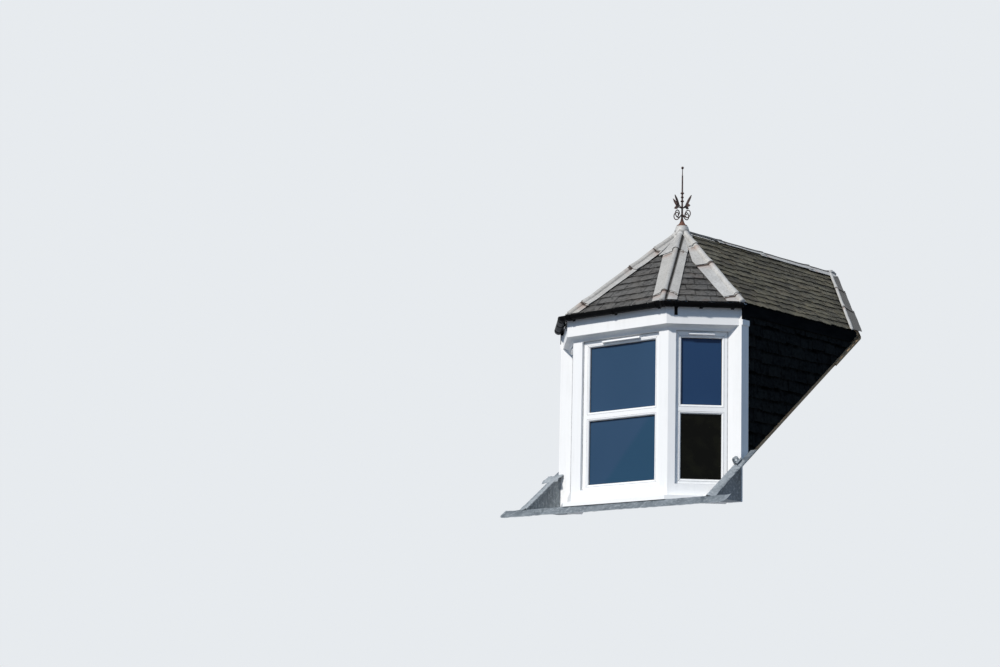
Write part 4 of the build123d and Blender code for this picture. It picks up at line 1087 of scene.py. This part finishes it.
FRONT_ASIDE = (0.037, 0.006)
SIDE_ASIDE = (0.026, -0.004)
EVEN, MEETING, TUCKED = (1.0, 1.0), 2.0, 0.12
FRONT_LAPS_RIGHT, FRONT_LAPS_LEFT = [0.0, 0.125, 0.71], [0.0, 0.14, 0.55, 0.77]
SIDE_LAPS, RIDGE_LAPS = [0.0, 0.09, 0.52, 0.775], [0.0, 0.04, 0.19, 0.50, 0.76]
RIDGE_WIDTHS = [1.9, 1.8, 1.4, 0.9, 0.1]
FRONT_HIP_GREY, RIDGE_ROLL_DARKENING = 0.14, 0.85
FRONT_HIP_SEED, SIDE_HIP_SEED, RIDGE_SEED, VALLEY_SEED = 40, 50, 60, 70
for side, name in ((1.0, "right"), (-1.0, "left")):
    flip = np.array([side, 1.0, 1.0])
    front_foot, other_front, side_foot = eave_corner * flip, mirrored(eave_corner * flip), side_corner * flip
    to_splay = side_foot - front_foot
    front_wing = wing_frame(front_foot, apex, [-side, 0, 0], other_front, FRONT_WING)
    splay_wing = wing_frame(front_foot, apex, to_splay, side_foot, SPLAY_WING)
    front_laps = FRONT_LAPS_RIGHT if side > 0 else FRONT_LAPS_LEFT
    # On the front right hip the shaded flank and crease get painted shade with dirt.
    dress("hip_front_" + name, front_foot, apex, front_wing, splay_wing, HIP_ROLL, front_laps,
          FRONT_HIP_SEED + int(side), "front_hip_" + name, FRONT_ASIDE, flank_shade_and_dirt=1.0 if side > 0 else 0.0,
          narrow=[EVEN] * (len(front_laps) - 1) + [(MEETING, MEETING)], grey=FRONT_HIP_GREY)
    inner_wing = wing_frame(side_foot, apex, -to_splay, front_foot, INNER_WING)
    side_wing = wing_frame(side_foot, apex, [0, 1, 0], ridge_rear, SIDE_WING)
    dress("hip_side_" + name, side_foot, apex, inner_wing, side_wing, HIP_ROLL, SIDE_LAPS,
          SIDE_HIP_SEED + int(side), "side_hip_" + name, SIDE_ASIDE,
          narrow=[(1.0, TUCKED), (1.0, 2 * TUCKED), (1.0, 5 * TUCKED), (MEETING, 0.9)])
down_valley = valley_low - valley_high
left_ridge = wing_frame(valley_high, apex, mirrored(down_valley), mirrored(side_corner), SIDE_WING)
right_ridge = wing_frame(valley_high, apex, down_valley, side_corner, SIDE_WING)
# The ridge's roll is darkened all over.
dress("ridge_metal", valley_high, apex, left_ridge, right_ridge, RIDGE_ROLL, RIDGE_LAPS, RIDGE_SEED,
      "ridge_flashing", roll_darkening=RIDGE_ROLL_DARKENING, narrow=[(width, width) for width in RIDGE_WIDTHS])

# Valleys: the same sheet dressed over a small roll along the cut edge of the dormer's slates, with a
# trough beside it, painted dark as painted shade with dirt. A beaten lump closes the top, where the two
# meet behind the ridge.
VALLEY_ROLL = 0.015
VALLEY_WING = 0.018
VALLEY_TROUGH = 0.117
VALLEY_LAPS = [0.0, 0.36, 0.70]
VALLEY_TROUGH_SHADE = 0.94
RIDGE_END_SIZE = (0.030, 0.058, 0.022)
for side, name in ((1.0, "right"), (-1.0, "left")):
    flip = np.array([side, 1.0, 1.0])
    foot, top = valley_edge_low * flip, valley_edge_high
    under_slates = wing_frame(foot, top, [0, -1, 0], apex, VALLEY_WING)
    trough = (*wing_frame(foot, top, [0, 1, 0], apex, VALLEY_TROUGH)[:4], 0.001)
    # The trough wing is painted dark: painted shade with dirt.
    dress("valley_" + name, foot, top, under_slates, trough, VALLEY_ROLL, VALLEY_LAPS,
          VALLEY_SEED + int(side), "valley_flashings" if side > 0 else None, trough_shade=VALLEY_TROUGH_SHADE,
          narrow=[EVEN, (1.0, 0.86), (1.0, 0.72)])

ridge_end_middle = valley_edge_high + [0, 0.012, 0.006]
made = beaten_lump("ridge_end", ridge_end_middle, RIDGE_END_SIZE, hip_metal, "hip_metal")
set_value(made, "below_lap", np.ones(LUMP_RINGS * LUMP_SIDES))

# Apex cap: one sheet of the same metal, beaten over the ends of the four hips and the ridge until it
# holds there. The finial stands on its boss.
CAP_RADIUS = 0.092
CAP_LIFT = 0.011
CAP_ROLL = 0.0315
BOSS_RADIUS = 0.052
BOSS_FALL = 3.0
FINIAL_BOSS = 0.036
CAP_SHEET = 0.004
CAP_STEPS = 61
u = np.linspace(-1, 1, CAP_STEPS)[:, None]
v = np.linspace(-1, 1, CAP_STEPS)[None, :]
cap_x = CAP_RADIUS * u * np.sqrt(1 - v * v / 2)
cap_y = CAP_RADIUS * v * np.sqrt(1 - u * u / 2)
cap_planes = [up_front, up_splay, mirrored(up_splay), up_side, mirrored(up_side)]
cap_z = np.min([-(n[0] * cap_x + n[1] * cap_y) / n[2] + CAP_LIFT for n in cap_planes if n[2] > 0], axis=0)


def roll_height(line, radius, step=(0.0, 0.0, 0.0)):
    """Height of a round roll's top over the cap's points, or far below where it isn't under them. The
    roll's line runs from the apex, moved by the step."""
    d = unit(line)
    x, y = cap_x - step[0], cap_y - step[1]
    flat = x * d[0] + y * d[1]
    a = 1 - d[2] ** 2
    b = d[2] * flat
    inside = b * b - a * (x * x + y * y - flat * flat - radius ** 2)
    top = (b + np.sqrt(np.maximum(inside, 0))) / a + step[2]
    return np.where((inside > 0) & (flat > -0.2 * radius), top, -1.0)


for side in (1.0, -1.0):
    flip = np.array([side, 1.0, 1.0])
    for foot, beside, step in ((eave_corner, mirrored(eave_corner), FRONT_ASIDE[1]),
                               (side_corner, eave_corner, SIDE_ASIDE[1])):
        across = wing_frame(foot * flip, apex, (beside - foot) * flip, beside * flip, 0.0)[0]
        cap_z = np.maximum(cap_z, roll_height(foot * flip - apex, CAP_ROLL, step * across))
cap_z = np.maximum(cap_z, roll_height(ridge_rear - apex, RIDGE_ROLL + 0.006))
boss = FINIAL_BOSS - BOSS_FALL * np.maximum(np.hypot(cap_x, cap_y) - BOSS_RADIUS, 0)
cap_z = np.maximum(cap_z, boss)
for _ in range(2):
    inner = (cap_z[:-2, 1:-1] + cap_z[2:, 1:-1] + cap_z[1:-1, :-2] + cap_z[1:-1, 2:]) / 4
    cap_z[1:-1, 1:-1] = 0.5 * cap_z[1:-1, 1:-1] + 0.5 * inner
beaten = 0.0007 * np.sin(cap_x * 310) * np.sin(cap_y * 270)
beaten = beaten - 0.006 * (np.hypot(cap_x, cap_y) / CAP_RADIUS) ** 8
cap_top = apex + np.stack([cap_x, cap_y, cap_z + beaten], -1)
cap_sheet = np.stack([cap_top, cap_top - [0, 0, CAP_SHEET]])
made = new_piece("cap_sheet", cap_sheet, shell_faces(CAP_STEPS, CAP_STEPS), hip_metal, "hip_metal", True)
# Hollows between the beaten rolls darken through the fold value: painted shade in the creases, with dirt.
around = (cap_z[8:, 4:-4] + cap_z[:-8, 4:-4] + cap_z[4:-4, 8:] + cap_z[4:-4, :-8]) / 4
hollow = np.zeros((CAP_STEPS, CAP_STEPS))
hollow[4:-4, 4:-4] = around - cap_z[4:-4, 4:-4]
hollow = np.clip(hollow / 0.006, 0, 1)
for key, values in (("below_lap", 1.0 + 0 * hollow), ("fold", 0.8 * hollow), ("length_tone", 0 * hollow)):
    set_value(made, key, np.tile(values.ravel(), 2))
face_outwards(made)
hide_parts("apex_cap")

# Finial: wrought iron, forged in one with its scrolls and leaves, and rusty at the foot. It stands on
# the boss of the apex cap.
IRON_BLACK, IRON_BROWN, IRON_RUST = (0.022, 0.018, 0.020), (0.090, 0.043, 0.034), (0.145, 0.062, 0.040)
iron = Finish("rusted_iron", 0.72, 0.4)
scale = iron.noise(60.0, 6.0, 0.65)
height = iron.node("SeparateXYZ", [("Vector", iron.place)]).outputs["Z"]
foot_rust = iron.band(height, ridge_z + 0.13, ridge_z + 0.05)
iron_shade = iron.blend(iron.band(scale, 0.42, 0.66), IRON_BLACK, IRON_BROWN)
foot_rust = iron.product(foot_rust, iron.band(scale, 0.3, 0.5))
iron.colour(iron.blend(foot_rust, iron_shade, IRON_RUST))
iron.relief(scale, 0.001)
finish_node("finial", iron)
